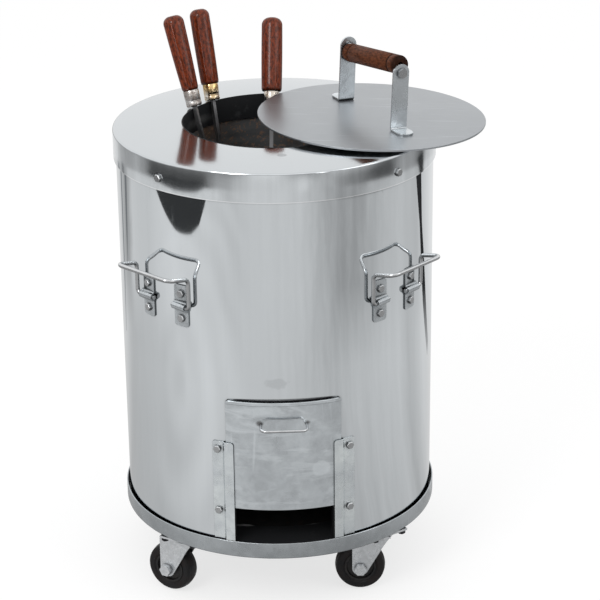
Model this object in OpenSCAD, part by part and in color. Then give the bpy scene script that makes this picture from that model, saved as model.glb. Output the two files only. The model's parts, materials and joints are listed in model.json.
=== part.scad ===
// Charcoal-fired clay tandoor in a steel drum on four swivel casters, with a
// loose lid and three skewers standing in its mouth.
// Millimetres. Z is up, the origin is on the floor under the drum's axis and
// the air door faces -Y. Azimuths count from the door, growing towards +X.

/* [Drum] */
// Outside diameter of the drum
drum_d = 460; // [440:5:500]
// Height of the top rim above the floor
rim_h = 686; // [670:2:720]
// Sheet thickness of the drum, cover and door
sheet_t = 1.5; // [1:0.1:2]
// Drop of the cover's skirt below the rim
skirt_h = 43; // [36:1:55]
// Gap between the drum and the cover's skirt
skirt_gap = 2; // [1:0.5:4]
// Radius of the cover's outer corner
rim_round = 3; // [2:0.5:5]
// Height of the base tray's upstanding rim
tray_h = 25; // [20:1:30]
// Thickness of the tray's rim and floor
tray_t = 2; // [1.5:0.5:3]
// Width of the groove between the drum and the tray's rim
groove_w = 3; // [2.8:0.2:5]

/* [Mouth and pot] */
// Radius of the hole in the cover
mouth_r = 133.5; // [120:0.5:140]
// Rise of the cover from its rim to the mouth
mouth_rise = 4; // [2:0.5:8]
// Depth of the steel collar in the mouth
collar_h = 36; // [25:1:45]
// How far the collar's lip stands above the cover
lip_h = 0.6; // [0.4:0.1:1.5]
// Wall thickness of the clay pot
clay_t = 22; // [18:1:26]
// How much wider than the mouth the pot's neck is, all round
neck_room = 1.5; // [1:0.5:4]
// Thickness of the insulation round the pot's belly
fill_t = 21; // [10:1:30]
// How much narrower than its belly the pot's foot is, all round
foot_in = 6; // [0:1:12]
// Height of the belly above the pot's foot
belly_h = 190; // [140:5:240]
// Thickness of the refractory floor slab
slab_t = 18; // [12:1:30]
// Radial room between the drum and the insulation
fill_gap = 7.5; // [7:0.5:12]

/* [Charcoal grate] */
// Room between the grate and the pot's foot
grate_room = 12; // [5:1:30]
// Width and depth of the grate's cast bars and ring
grate_bar = 9; // [6:1:12]
// Distance from bar to bar
grate_pitch = 24; // [20:1:40]
// Height of the grate's legs
grate_leg_h = 60; // [40:5:90]

/* [Air door] */
// Width of the cut-out behind the door
port_w = 144; // [110:2:150]
// Height of the air duct's inside
port_h = 124; // [90:2:130]
// Sheet thickness of the air duct
duct_t = 1.2; // [0.8:0.2:2]
// Width of the door, measured along its curve
door_w = 165; // [160:1:176]
// Height of the door
door_h = 169; // [150:1:180]
// Height of the door's lower edge as the door stands, partly raised
door_low = 178; // [160:1:190]
// Height of the fold along the door's top edge
hem_h = 5; // [3:0.5:8]
// Depth of that fold, with the sheet
hem_t = 3.4; // [2.4:0.2:4]
// Running gap before and behind the door
door_gap = 0.8; // [0.5:0.1:1.2]
// Height of the guides' upper end
guide_top = 281; // [260:1:290]
// Azimuth of the guides' inner edge
guide_in = 17.9; // [17.5:0.1:18.5]
// Azimuth of the step in the guides
guide_step = 21.6; // [21.4:0.1:22.2]
// Azimuth of the guides' outer edge
guide_out = 26; // [25.2:0.1:28]
// Distance from the guides' lower ends to their lower bolts
guide_bolt_low = 46; // [15:1:50]
// Distance from the guides' upper ends to their upper bolts
guide_bolt_top = 12; // [10:1:30]
// Radius of the upper corners of the door and its guides
door_round = 4; // [1:0.5:8]
// Height of the pull on the door
pull_z = 313; // [300:1:325]
// Width of the pull
pull_w = 65; // [50:1:90]
// Reach of the pull out of the door
pull_reach = 24; // [18:1:30]
// Diameter of the pull's wire
pull_d = 4; // [3:0.5:5]

/* [Carrying handles] */
// Diameter of the handle rod
rod_d = 6; // [5:0.5:8]
// Height of the handles' pivots
pivot_z = 479; // [440:1:540]
// Distance between the handle's two arms
arm_gap = 103; // [100:1:120]
// Height of the arms
arm_h = 45; // [42:1:60]
// Reach of the grip beyond the arms
grip_out = 38; // [30:1:50]
// Rise of the grip over the arms' tops
grip_up = 8; // [4:1:14]
// Distance of the pivot from the drum's wall
pivot_out = 3.2; // [3.2:0.1:5]
// Distance between the middles of a handle's brackets
bracket_gap = 65; // [60:1:66]
// Width of a bracket's strap
strap_w = 23.6; // [18:0.2:24]
// Radius of the strap's corners
strap_round = 4; // [1:0.5:6]
// Length of a bracket's strap
strap_h = 62; // [58:1:70]
// Thickness of a bracket's strap
strap_t = 2; // [1.5:0.5:3]
// Distance between a bracket's two bolts
strap_bolts = 37; // [34:1:44]

/* [Casters] */
// Height of a caster, from the floor to its plate's top
caster_h = 100; // [96:1:110]
// Room between the wheel and the crown of its fork
wheel_room = 12; // [8:1:20]
// Wheel width
wheel_w = 25; // [20:1:30]
// Radius from the drum's axis to each swivel
swivel_r = 201; // [190:1:204]
// Distance from the swivel to the wheel's axle
trail = 28; // [20:1:32]
// Thickness of the fork's sheet
fork_t = 2.5; // [2:0.5:3.5]
// Diameter of the wheel's axle bolt
axle_d = 10; // [8:1:12]
// Distance from the swivel to each plate bolt
plate_bolt_r = 34; // [33:0.5:36]

/* [Lid] */
// Lid diameter
lid_d = 330; // [290:5:350]
// Lid thickness
lid_t = 3; // [2:0.5:4]
// Place of the lid's centre, to the right of the drum's axis
lid_x = 140.7; // [136:0.1:160]
// Azimuth of the lid handle's axis
lid_turn = 24; // [0:1:60]
// Distance between the lid handle's straps
lid_strap_gap = 158; // [120:1:180]
// Width of the lid handle's straps
lid_strap_w = 25; // [20:1:30]
// Height of the wooden grip's axis above the lid
lid_grip_h = 84; // [60:1:100]
// Diameter of the rod through the grip
lid_rod_d = 8; // [6:1:10]
// Diameter of the wooden grip
lid_grip_d = 27; // [24:1:34]

/* [Skewers] */
// Width of a skewer's square bar
bar_w = 5.5; // [4:0.5:7]
// Length of the wooden handles
wood_l = 111; // [90:1:130]
// Length of bar that the wood holds
bar_hold = 40; // [20:1:60]
// Length of the ferrules
ferrule_l = 24; // [16:1:30]
// Diameter of the ferrules
ferrule_d = 23; // [20:0.5:25]

/* [Hidden] */

// The four corners, in the order of their azimuths
CORNERS = ["front_left", "front_right", "back_right", "back_left"];
corner_az = [-45, 45, 135, 225];
// Heading of each caster's trail, as the casters stand
trail_az = [-122.8, -92.8, 70, -60];
// Turn of each caster's plate about its swivel
plate_turn = [58.6, 31.4, 58.6, 31.4];

SKEWERS = ["left", "middle", "right"];
// Azimuth at which each skewer leans on the lip
lean_az = [-117.8, -136.9, 180];
// Foot of each skewer on the grate
foot_xy = [[1.2, -62.6], [-21, -41.8], [-18.6, -115.6]];
// Place of each ferrule's lower end along the bar, counted from the lip
ferrule_at = [5, 3.4, -16.6];
// Diameters of each wooden handle at its top and at its ferrule
wood_top_d = [30.5, 29, 31];
wood_low_d = [24.5, 27, 30.5];

eps = 0.01;
bolt_clear = 0.1;
pin_clear = 0.06;
run_gap = 0.3;
seat_gap = 0.05;
lean_gap = 0.5;
big = 64;
drum_r = drum_d / 2;
drum_in_r = drum_r - sheet_t;
tray_in_r = drum_r + groove_w;
tray_r = tray_in_r + tray_t;
tray_z = caster_h;
tray_floor = tray_z + tray_t;
skirt_in_r = drum_r + skirt_gap;
skirt_r = skirt_in_r + sheet_t;
cover_bolt_z = rim_h - skirt_h * 0.58;
slab_top = tray_floor + slab_t;
fill_r = drum_in_r - fill_gap;
belly_r = fill_r - fill_t - run_gap - clay_t;
foot_r = belly_r - foot_in;
neck_r = mouth_r + neck_room;
mouth_z = rim_h + mouth_rise;
lip_top = mouth_z + lip_h;
cover_slope = mouth_rise / (skirt_r - rim_round - mouth_r);
drum_top = cover_under(drum_r) - seat_gap;
pot_top = mouth_z - collar_h - run_gap;
collar_r = mouth_r - sheet_t;

port_z = slab_top + duct_t;
port_top = port_z + port_h;
cut_top = port_top + duct_t + 0.8;
duct_w = port_w - 1.6;

door_in_r = drum_r + door_gap;
door_r = door_in_r + sheet_t;
guide_in_r = door_r + door_gap;
guide_r = guide_in_r + sheet_t;
guide_low = tray_z + tray_h + 0.8;
door_half = door_w / 2 / door_in_r * 180 / PI;
guide_bolt_az = (guide_step + guide_out) / 2 + 0.2;

// M6 bolts, heads and nuts
m6_r = 3;
m6_flats = 10;
m6_head = 4;
m6_nut = 5;
m6_end = 1;
hex_ratio = 2 / sqrt(3);
bolt_reach = 10;

// A rod swells a little in its elbows, and its straight runs reach into them
elbow_swell = 0.05;
elbow_lap = 0.3;

pivot_r = drum_r + pivot_out;
rod_r = rod_d / 2;
bracket_az = asin(bracket_gap / 2 / drum_r);

plate_t = 3;
race_h = 6.7;
crown_t = 3;
crown_top = caster_h - plate_t - race_h - run_gap;
crown_low = crown_top - crown_t;
wheel_d = crown_low - wheel_room;
axle_z = wheel_d / 2;
fork_in = wheel_w / 2 + 1;
leg_r = 12;
knee_rise = 27;
race_r = 19;
kingpin_r = 6;
kingpin_head_r = 9;
hub_r = wheel_d / 2 - 14;
axle_r = axle_d / 2;
axle_flats = 16;

lid_tilt = atan(cover_slope);
lid_under = lip_top + run_gap - (lid_x - mouth_r) * cover_slope;
lid_strap_t = 3;
lid_rod_flats = 1.6 * lid_rod_d;
lid_rod_head = 5.3;
grip_groove_in = 18;

grate_d = 2 * (foot_r - grate_room);
grate_top = slab_top + grate_leg_h + grate_bar;
tip_l = 26;

steel = [0.78, 0.79, 0.80];
dull_steel = [0.66, 0.67, 0.68];
zinc = [0.70, 0.71, 0.72];
black = [0.09, 0.09, 0.10];
soot = [0.14, 0.13, 0.13];
clay = [0.50, 0.42, 0.36];
wood = [0.42, 0.17, 0.09];

// Height of the cover's outer face, and of its under face, at a radius
function cover_at(r) = rim_h + (skirt_r - rim_round - r) * cover_slope;
function cover_under(r) = cover_at(r) - sheet_t;

function unit(v) = v / norm(v);

// Inside radius of the pot at a height
function pot_r(z) =
    z < slab_top + belly_h
    ? belly_r - (belly_r - foot_r) * pow((slab_top + belly_h - z) / belly_h, 2)
    : neck_r + (belly_r - neck_r)
      * pow(cos(90 * (z - slab_top - belly_h) / (pot_top - slab_top - belly_h)), 0.8);

// Heights of the pot profile's points
pot_steps = 16;
pot_z = [for (i = [0:pot_steps]) slab_top + (pot_top - slab_top) * i / pot_steps];

// Local frame at an azimuth: +X points outwards and +Y along the drum's curve
module at_azimuth(az) {
    rotate([0, 0, az - 90])
        children();
}

// Frame at point p whose z axis is z and whose x axis is nearest to x
module stood_on(p, z, x) {
    y = unit(cross(z, x));
    w = cross(y, z);
    multmatrix([
        [w.x, y.x, z.x, p.x],
        [w.y, y.y, z.y, p.y],
        [w.z, y.z, z.z, p.z],
        [0, 0, 0, 1]
    ])
        children();
}

module ring(r_in, r_out, h, fn = 180) {
    rotate_extrude($fn = fn)
        translate([r_in, 0])
            square([r_out - r_in, h]);
}

// Curved plate between two radii, two azimuths and two heights
module curved_plate(r_in, r_out, az_a, az_b, z_a, z_b) {
    rotate([0, 0, az_a - 90])
        rotate_extrude(angle = az_b - az_a, $fn = 360)
            translate([r_in, z_a])
                square([r_out - r_in, z_b - z_a]);
}

module hex(flats, h) {
    cylinder(d = flats * hex_ratio, h = h, $fn = 6);
}

// What is cut off a plate to round its corner, which points to side and up
module corner_waste(side, up, r) {
    mirror([side < 0 ? 1 : 0, 0])
        mirror([0, up < 0 ? 1 : 0])
            difference() {
                translate([-r, -r])
                    square(r + 1);
                translate([-r, -r])
                    circle(r = r, $fn = big);
            }
}

// The same for a plate on the drum, whose corner is at an azimuth and a height
module corner_off(az, z, side, up, r) {
    at_azimuth(az)
        translate([drum_r - bolt_reach, 0, z])
            rotate([90, 0, 90])
                linear_extrude(2 * bolt_reach)
                    corner_waste(side, up, r);
}

// Bolt through the drum's wall, with its head's seat at radius seat
module wall_bolt(az, z, seat) {
    nut_face = drum_in_r - 3 * seat_gap;
    at_azimuth(az) {
        translate([seat, 0, z])
            rotate([0, 90, 0])
                hex(m6_flats, m6_head);
        translate([nut_face - m6_nut - m6_end, 0, z])
            rotate([0, 90, 0])
                cylinder(r = m6_r, h = seat - nut_face + m6_nut + m6_end + eps, $fn = big);
        translate([nut_face - m6_nut, 0, z])
            rotate([0, 90, 0])
                hex(m6_flats, m6_nut);
    }
}

// Hole for such a bolt, through the drum's wall and all that lies on it
module wall_hole(az, z) {
    at_azimuth(az)
        translate([drum_r - bolt_reach, 0, z])
            rotate([0, 90, 0])
                cylinder(r = m6_r + bolt_clear, h = 2 * bolt_reach, $fn = big);
}

module cover_bolt_holes() {
    for (a = corner_az)
        wall_hole(a, cover_bolt_z);
}

module guide_bolt_holes() {
    for (side = [-1, 1], z = [guide_low + guide_bolt_low, guide_top - guide_bolt_top])
        wall_hole(side * guide_bolt_az, z);
}

module handle_bolt_holes() {
    for (a = corner_az, side = [-1, 1], up = [-1, 1])
        wall_hole(a + side * bracket_az, pivot_z + up * strap_bolts / 2);
}

// Round rod between two points
module rod_between(a, b, r) {
    d = b - a;
    translate(a)
        rotate([0, acos(d.z / norm(d)), atan2(d.y, d.x)])
            cylinder(r = r, h = norm(d), $fn = big);
}

// Rod along points, with an elbow of bend radius bends[i] at point i
module bent_rod(pts, bends, r) {
    last = len(pts) - 1;
    back = [for (i = [0:last])
        i == 0 || i == last
        ? 0
        : bends[i] * tan(acos(unit(pts[i] - pts[i - 1]) * unit(pts[i + 1] - pts[i])) / 2)];
    for (i = [0:last - 1]) {
        d = unit(pts[i + 1] - pts[i]);
        start = i == 0 ? 0 : back[i] - elbow_lap;
        end = i == last - 1 ? 0 : back[i + 1] - elbow_lap;
        rod_between(pts[i] + d * start, pts[i + 1] - d * end, r);
    }
    for (i = [1:last - 1]) {
        d1 = unit(pts[i] - pts[i - 1]);
        d2 = unit(pts[i + 1] - pts[i]);
        side = unit(d2 - d1 * (d1 * d2));
        centre = pts[i] - d1 * back[i] + side * bends[i];
        multmatrix([
            [-side.x, d1.x, cross(-side, d1).x, centre.x],
            [-side.y, d1.y, cross(-side, d1).y, centre.y],
            [-side.z, d1.z, cross(-side, d1).z, centre.z],
            [0, 0, 0, 1]
        ])
            rotate_extrude(angle = acos(d1 * d2), $fn = 96)
                translate([bends[i], 0])
                    circle(r = r + elbow_swell, $fn = 32);
    }
}

module base_tray() {
    color(dull_steel)
        translate([0, 0, tray_z])
            difference() {
                cylinder(r = tray_r, h = tray_h, $fn = 180);
                translate([0, 0, tray_t])
                    cylinder(r = tray_in_r, h = tray_h, $fn = 180);
                for (i = [0:3])
                    caster_bolt_places(i)
                        translate([0, 0, -tray_z - 1])
                            cylinder(r = m6_r + bolt_clear, h = tray_z + tray_t + 2, $fn = big);
            }
}

module floor_slab() {
    color(clay)
        translate([0, 0, tray_floor])
            cylinder(r = drum_in_r - 2, h = slab_t, $fn = 180);
}

module drum_shell() {
    color(steel)
        difference() {
            translate([0, 0, tray_floor])
                ring(drum_in_r, drum_r, drum_top - tray_floor);
            translate([-port_w / 2, -drum_r - 5, slab_top])
                cube([port_w, drum_r, cut_top - slab_top]);
            cover_bolt_holes();
            guide_bolt_holes();
            handle_bolt_holes();
        }
}

module insulation() {
    color("khaki")
        difference() {
            rotate_extrude($fn = 180)
                polygon(concat(
                    [for (z = pot_z) [pot_r(z) + clay_t + run_gap, z]],
                    [[fill_r, pot_top], [fill_r, slab_top]]
                ));
            duct_space();
        }
}

// Space round the air duct, cut out of the insulation and the pot
module duct_space() {
    translate([-duct_w / 2 - 0.5, -drum_r - 5, slab_top - 1])
        cube([duct_w + 1, drum_r, port_top + duct_t + 0.5 - slab_top + 1]);
}

module clay_pot() {
    color(clay)
        difference() {
            rotate_extrude($fn = 180)
                polygon(concat(
                    [for (z = pot_z) [pot_r(z), z]],
                    [for (i = [pot_steps:-1:0]) [pot_r(pot_z[i]) + clay_t, pot_z[i]]]
                ));
            duct_space();
        }
}

// Slots on both sides of the middle bar, cut off by the ring
module grate_slots() {
    slot_r = grate_d / 2 - grate_bar;
    slot_w = grate_pitch - grate_bar;
    rows = floor((slot_r - slot_w / 2) / grate_pitch + 0.5);
    intersection() {
        translate([0, 0, -1])
            cylinder(r = slot_r, h = grate_bar + 2, $fn = 120);
        for (side = [-1, 1], i = [1:rows])
            translate([side * (i - 0.5) * grate_pitch - slot_w / 2, -slot_r, -2])
                cube([slot_w, 2 * slot_r, grate_bar + 4]);
    }
}

module charcoal_grate() {
    color(black)
        translate([0, 0, slab_top + grate_leg_h])
            difference() {
                cylinder(r = grate_d / 2, h = grate_bar, $fn = 120);
                grate_slots();
            }
}

// Round legs that stand on the slab under the grate's ring
module grate_legs() {
    color(black)
        for (a = corner_az)
            at_azimuth(a)
                translate([(grate_d - grate_bar) / 2, 0, slab_top])
                    cylinder(d = grate_bar - 1, h = grate_leg_h, $fn = big);
}

module air_duct() {
    color(soot)
        difference() {
            intersection() {
                translate([-duct_w / 2, -drum_r, slab_top])
                    cube([duct_w, drum_r, port_h + 2 * duct_t]);
                cylinder(r = drum_r - 0.2, h = rim_h, $fn = 180);
            }
            cylinder(r = foot_r + 2, h = rim_h, $fn = 180);
            translate([-duct_w / 2 + duct_t, -drum_r - 5, port_z])
                cube([duct_w - 2 * duct_t, drum_r, port_h]);
        }
}

// Half section of the cover: its top, its rounded corner and its skirt
module cover_section() {
    centre = [skirt_r - rim_round, rim_h - rim_round];
    low = rim_h - skirt_h;
    arc = [for (a = [90:-10:0]) [cos(a), sin(a)]];
    polygon(concat(
        [[mouth_r, cover_at(mouth_r)]],
        [for (p = arc) centre + rim_round * p],
        [[skirt_r, low], [skirt_in_r, low]],
        [for (i = [len(arc) - 1:-1:0]) centre + (rim_round - sheet_t) * arc[i]],
        [[mouth_r, cover_under(mouth_r)]]
    ));
}

module top_cover() {
    color(steel)
        difference() {
            rotate_extrude($fn = 180)
                cover_section();
            cover_bolt_holes();
        }
}

module mouth_collar() {
    color(soot)
        rotate_extrude($fn = 180) {
            translate([collar_r, mouth_z - collar_h])
                square([sheet_t, lip_top - sheet_t / 2 - mouth_z + collar_h]);
            translate([collar_r + sheet_t / 2, lip_top - sheet_t / 2])
                circle(r = sheet_t / 2, $fn = 24);
        }
}

module cover_bolts() {
    color(steel)
        for (a = corner_az)
            wall_bolt(a, cover_bolt_z, skirt_r);
}

// Guide on one side of the door: a bolted flange, a step and a raised lip
module guide(side) {
    step_az = 180 / PI * sheet_t / drum_r;
    color(dull_steel)
        mirror([side < 0 ? 1 : 0, 0, 0])
            difference() {
                union() {
                    curved_plate(guide_in_r, guide_r, guide_in, guide_step, guide_low, guide_top);
                    curved_plate(drum_r, guide_r, guide_step - step_az, guide_step,
                                 guide_low, guide_top);
                    curved_plate(drum_r, drum_r + sheet_t, guide_step - step_az, guide_out,
                                 guide_low, guide_top);
                }
                guide_bolt_holes();
                corner_off(guide_in, guide_top, -1, 1, door_round);
                corner_off(guide_out, guide_top, 1, 1, door_round);
            }
}

module guide_left() {
    guide(-1);
}

module guide_right() {
    guide(1);
}

module guide_bolts() {
    color(steel)
        for (side = [-1, 1], z = [guide_low + guide_bolt_low, guide_top - guide_bolt_top])
            wall_bolt(side * guide_bolt_az, z, drum_r + sheet_t);
}

module air_door() {
    door_top = door_low + door_h;
    color(dull_steel)
        difference() {
            union() {
                curved_plate(door_in_r, door_r, -door_half, door_half, door_low, door_top);
                curved_plate(door_in_r, door_in_r + hem_t, -door_half, door_half,
                             door_top - hem_h, door_top);
            }
            for (side = [-1, 1])
                corner_off(side * door_half, door_top, side, 1, door_round);
        }
}

module door_pull() {
    root_r = sqrt(pow(door_r, 2) - pow(pull_w / 2 + pull_d / 2, 2));
    foot_y = -sqrt(pow(door_r, 2) - pow(pull_w / 2, 2));
    out_y = foot_y - pull_reach;
    bend = 5;
    color(steel)
        difference() {
            bent_rod([
                [-pull_w / 2, -root_r + 3, pull_z],
                [-pull_w / 2, out_y, pull_z],
                [pull_w / 2, out_y, pull_z],
                [pull_w / 2, -root_r + 3, pull_z]
            ], [0, bend, bend, 0], pull_d / 2);
            translate([0, 0, door_low])
                cylinder(r = door_r, h = door_h, $fn = 360);
        }
}

// Outline of a bracket's strap, with its four corners rounded
module strap_outline() {
    difference() {
        translate([-strap_w / 2, 0])
            square([strap_w, strap_h]);
        for (side = [-1, 1], up = [-1, 1])
            translate([side * strap_w / 2, up < 0 ? 0 : strap_h])
                corner_waste(side, up, strap_round);
    }
}

// Bracket of a carrying handle: a flange on the drum with a knuckle pressed
// out of it round the rod
module bracket(side) {
    knuckle_r = rod_r + pin_clear + strap_t;
    hollow_r = rod_r + pin_clear;
    deep = pivot_out + 12;
    foot = 2.5;
    w_mid = side * bracket_gap / 2;
    difference() {
        union() {
            intersection() {
                at_azimuth(90)
                    ring(drum_r, drum_r + strap_t, strap_h, 360);
                translate([drum_r - bolt_reach, w_mid, 0])
                    rotate([90, 0, 90])
                        linear_extrude(2 * bolt_reach)
                            strap_outline();
            }
            difference() {
                translate([pivot_r, w_mid - strap_w / 2, strap_h / 2])
                    rotate([-90, 0, 0])
                        linear_extrude(strap_w) {
                            circle(r = knuckle_r, $fn = big);
                            translate([-deep, -knuckle_r])
                                square([deep, 2 * knuckle_r]);
                        }
                cylinder(r = drum_r, h = strap_h, $fn = 360);
            }
            for (up = [-1, 1])
                difference() {
                    translate([0, w_mid - strap_w / 2, strap_h / 2 + up * (knuckle_r + foot / 2) - foot / 2])
                        cube([drum_r + strap_t + foot - 0.6, strap_w, foot]);
                    cylinder(r = drum_r + strap_t - 0.2, h = strap_h, $fn = 360);
                    translate([drum_r + strap_t + foot - 0.6, w_mid,
                               strap_h / 2 + up * (knuckle_r + foot)])
                        rotate([90, 0, 0])
                            cylinder(r = foot, h = strap_w + 2, center = true, $fn = big);
                }
        }
        translate([pivot_r, w_mid - strap_w / 2 - 1, strap_h / 2])
            rotate([-90, 0, 0])
                linear_extrude(strap_w + 2) {
                    circle(r = hollow_r, $fn = big);
                    translate([-deep, -hollow_r])
                        square([deep, 2 * hollow_r]);
                }
    }
}

module handle_brackets(i) {
    color(dull_steel)
        difference() {
            at_azimuth(corner_az[i])
                translate([0, 0, pivot_z - strap_h / 2])
                    for (side = [-1, 1])
                        bracket(side);
            handle_bolt_holes();
        }
}

module handle_bolts() {
    color(steel)
        for (a = corner_az, side = [-1, 1], up = [-1, 1])
            wall_bolt(a + side * bracket_az, pivot_z + up * strap_bolts / 2, drum_r + strap_t);
}

// Carrying handle: the rod's ends turn inwards through the two knuckles
module handle(i) {
    end_w = bracket_gap / 2 - strap_w / 2 - 3;
    arm_w = arm_gap / 2;
    arm_top = pivot_z + arm_h;
    grip_r = pivot_r + grip_out;
    color(steel)
        at_azimuth(corner_az[i])
            bent_rod([
                [pivot_r, -end_w, pivot_z],
                [pivot_r, -arm_w, pivot_z],
                [pivot_r, -arm_w, arm_top],
                [grip_r, -arm_w, arm_top + grip_up],
                [grip_r, arm_w, arm_top + grip_up],
                [pivot_r, arm_w, arm_top],
                [pivot_r, arm_w, pivot_z],
                [pivot_r, end_w, pivot_z]
            ], [0, 6, 9, 12, 12, 9, 6, 0], rod_r);
}

// Frame of a caster: the swivel's axis is Z, and +X points along its trail
module caster_frame(i) {
    at_azimuth(corner_az[i])
        translate([swivel_r, 0, 0])
            rotate([0, 0, trail_az[i] - corner_az[i]])
                children();
}

// The four places of a caster plate's bolts
module caster_bolt_places(i) {
    at_azimuth(corner_az[i])
        translate([swivel_r, 0, 0])
            rotate([0, 0, plate_turn[i]])
                for (q = [0:3])
                    rotate([0, 0, 90 * q])
                        translate([plate_bolt_r, 0, 0])
                            children();
}

module caster_plate(i) {
    half = plate_bolt_r / sqrt(2) + 6;
    color(zinc)
        difference() {
            union() {
                at_azimuth(corner_az[i])
                    translate([swivel_r, 0, caster_h - plate_t])
                        rotate([0, 0, plate_turn[i] + 45])
                            translate([-half, -half, 0])
                                cube([2 * half, 2 * half, plate_t]);
                caster_frame(i) {
                    translate([0, 0, crown_top + run_gap])
                        cylinder(r = race_r, h = race_h + eps, $fn = big);
                    translate([0, 0, crown_low - run_gap - 3])
                        cylinder(r = kingpin_r, h = caster_h - crown_low, $fn = big);
                    translate([0, 0, crown_low - run_gap - 3])
                        cylinder(r = kingpin_head_r, h = 3, $fn = big);
                }
            }
            caster_bolt_places(i)
                translate([0, 0, caster_h - plate_t - 1])
                    cylinder(r = m6_r + bolt_clear, h = plate_t + 2, $fn = big);
        }
}

// Studs welded into the tray's floor, with a nut under each plate
module caster_bolts() {
    color(black)
        for (i = [0:3])
            caster_bolt_places(i) {
                translate([0, 0, crown_top + 2 * run_gap])
                    cylinder(r = m6_r, h = tray_floor - crown_top - 2 * run_gap, $fn = big);
                translate([0, 0, caster_h - plate_t - m6_nut])
                    hex(m6_flats, m6_nut);
            }
}

// Outline of a fork's leg, seen from its side
module leg_outline() {
    top = crown_top;
    knee = [-1, axle_z + knee_rise];
    front = [-17, top];
    hub = [trail, axle_z];
    reach = norm(knee - hub);
    touch_at = atan2(knee.y - hub.y, knee.x - hub.x) + acos(leg_r / reach);
    touch = hub + leg_r * [cos(touch_at), sin(touch_at)];
    bow = [front.x + 12, knee.y + 9];
    polygon(concat(
        [front, [trail + leg_r, top], [trail + leg_r, axle_z], hub, touch],
        [for (t = [0:0.2:0.8]) knee * pow(1 - t, 2) + bow * 2 * t * (1 - t) + front * pow(t, 2)]
    ));
    translate(hub)
        circle(r = leg_r, $fn = big);
}

module caster_fork(i) {
    wide = fork_in + fork_t;
    color(zinc)
        caster_frame(i)
            difference() {
                union() {
                    for (side = [-1, 1])
                        translate([0, side * (fork_in + fork_t / 2), 0])
                            rotate([90, 0, 0])
                                linear_extrude(fork_t, center = true)
                                    leg_outline();
                    translate([0, 0, crown_low])
                        cylinder(r = race_r + 1.5, h = crown_top - crown_low, $fn = big);
                    translate([-17, -wide, crown_low])
                        cube([17 + trail + leg_r, 2 * wide, crown_top - crown_low]);
                }
                translate([0, 0, crown_low - 1])
                    cylinder(r = kingpin_r + pin_clear, h = 6, $fn = big);
                translate([trail, 0, axle_z])
                    rotate([90, 0, 0])
                        cylinder(r = axle_r, h = 2 * wide + 2, center = true, $fn = big);
            }
}

module caster_axle(i) {
    wide = fork_in + fork_t;
    color(zinc)
        caster_frame(i)
            translate([trail, 0, axle_z])
                rotate([90, 0, 0]) {
                    cylinder(r = axle_r, h = 2 * wide + 2 * eps, center = true, $fn = big);
                    translate([0, 0, wide])
                        hex(axle_flats, 6);
                    translate([0, 0, -wide - 8])
                        hex(axle_flats, 8);
                }
}

module wheel_hub(i) {
    half = fork_in - run_gap;
    color(black)
        caster_frame(i)
            translate([trail, 0, axle_z])
                rotate([90, 0, 0])
                    rotate_extrude($fn = 96)
                        polygon([
                            [axle_r + pin_clear, -half],
                            [axle_r + 4, -half],
                            [axle_r + 5, -half + 5],
                            [hub_r - 4, -half + 5],
                            [hub_r - 3, -half + 2],
                            [hub_r, -half + 2],
                            [hub_r, half - 2],
                            [hub_r - 3, half - 2],
                            [hub_r - 4, half - 5],
                            [axle_r + 5, half - 5],
                            [axle_r + 4, half],
                            [axle_r + pin_clear, half]
                        ]);
}

module wheel_tyre(i) {
    half = wheel_w / 2;
    shoulder = 5;
    crown = 1.2;
    r = wheel_d / 2;
    color(black)
        caster_frame(i)
            translate([trail, 0, axle_z])
                rotate([90, 0, 0])
                    rotate_extrude($fn = 120)
                        polygon(concat(
                            [[hub_r, -half + 2], [hub_r + 3, -half]],
                            [for (a = [0:15:90]) [
                                r - crown - shoulder + shoulder * sin(a),
                                -half + shoulder - shoulder * cos(a)
                            ]],
                            [[r - 0.4, -half / 3], [r, 0], [r - 0.4, half / 3]],
                            [for (a = [90:-15:0]) [
                                r - crown - shoulder + shoulder * sin(a),
                                half - shoulder + shoulder * cos(a)
                            ]],
                            [[hub_r + 3, half], [hub_r, half - 2]]
                        ));
}

// Frame of the lid: its origin is the middle of the lid's under face
module lid_frame() {
    translate([lid_x, 0, lid_under])
        rotate([0, lid_tilt, 0])
            children();
}

// Frame of the lid's handle: +X runs along the grip, towards its front end
module lid_handle_frame() {
    lid_frame()
        translate([0, 0, lid_t])
            rotate([0, 0, lid_turn - 90])
                children();
}

module lid_plate() {
    color(dull_steel)
        lid_frame()
            cylinder(d = lid_d, h = lid_t, $fn = 180);
}

module lid_strap(side) {
    inner = 1.5;
    outer = inner + lid_strap_t;
    w = lid_strap_w;
    foot_l = 22;
    color(dull_steel)
        lid_handle_frame()
            mirror([side < 0 ? 1 : 0, 0, 0])
                translate([lid_strap_gap / 2, 0, 0])
                    difference() {
                        union() {
                            translate([-lid_strap_t / 2, 0, 0])
                                rotate([90, 0, 90])
                                    linear_extrude(lid_strap_t) {
                                        translate([-w / 2, outer])
                                            square([w, lid_grip_h - outer]);
                                        translate([0, lid_grip_h])
                                            circle(d = w, $fn = big);
                                    }
                            translate([outer - lid_strap_t / 2, w / 2, outer])
                                rotate([90, 180, 0])
                                    rotate_extrude(angle = 90, $fn = big)
                                        translate([inner, 0])
                                            square([lid_strap_t, w]);
                            translate([outer - lid_strap_t / 2, 0, 0])
                                linear_extrude(lid_strap_t) {
                                    translate([0, -w / 2])
                                        square([foot_l - outer - w / 2 + 10, w]);
                                    translate([foot_l - outer - w / 2 + 10, 0])
                                        circle(d = w, $fn = big);
                                }
                        }
                        translate([0, 0, lid_grip_h])
                            rotate([0, 90, 0])
                                cylinder(
                                    r = lid_rod_d / 2 + bolt_clear,
                                    h = 6 * lid_strap_t,
                                    center = true,
                                    $fn = big
                                );
                    }
}

module lid_strap_front() {
    lid_strap(1);
}

module lid_strap_back() {
    lid_strap(-1);
}

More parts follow.
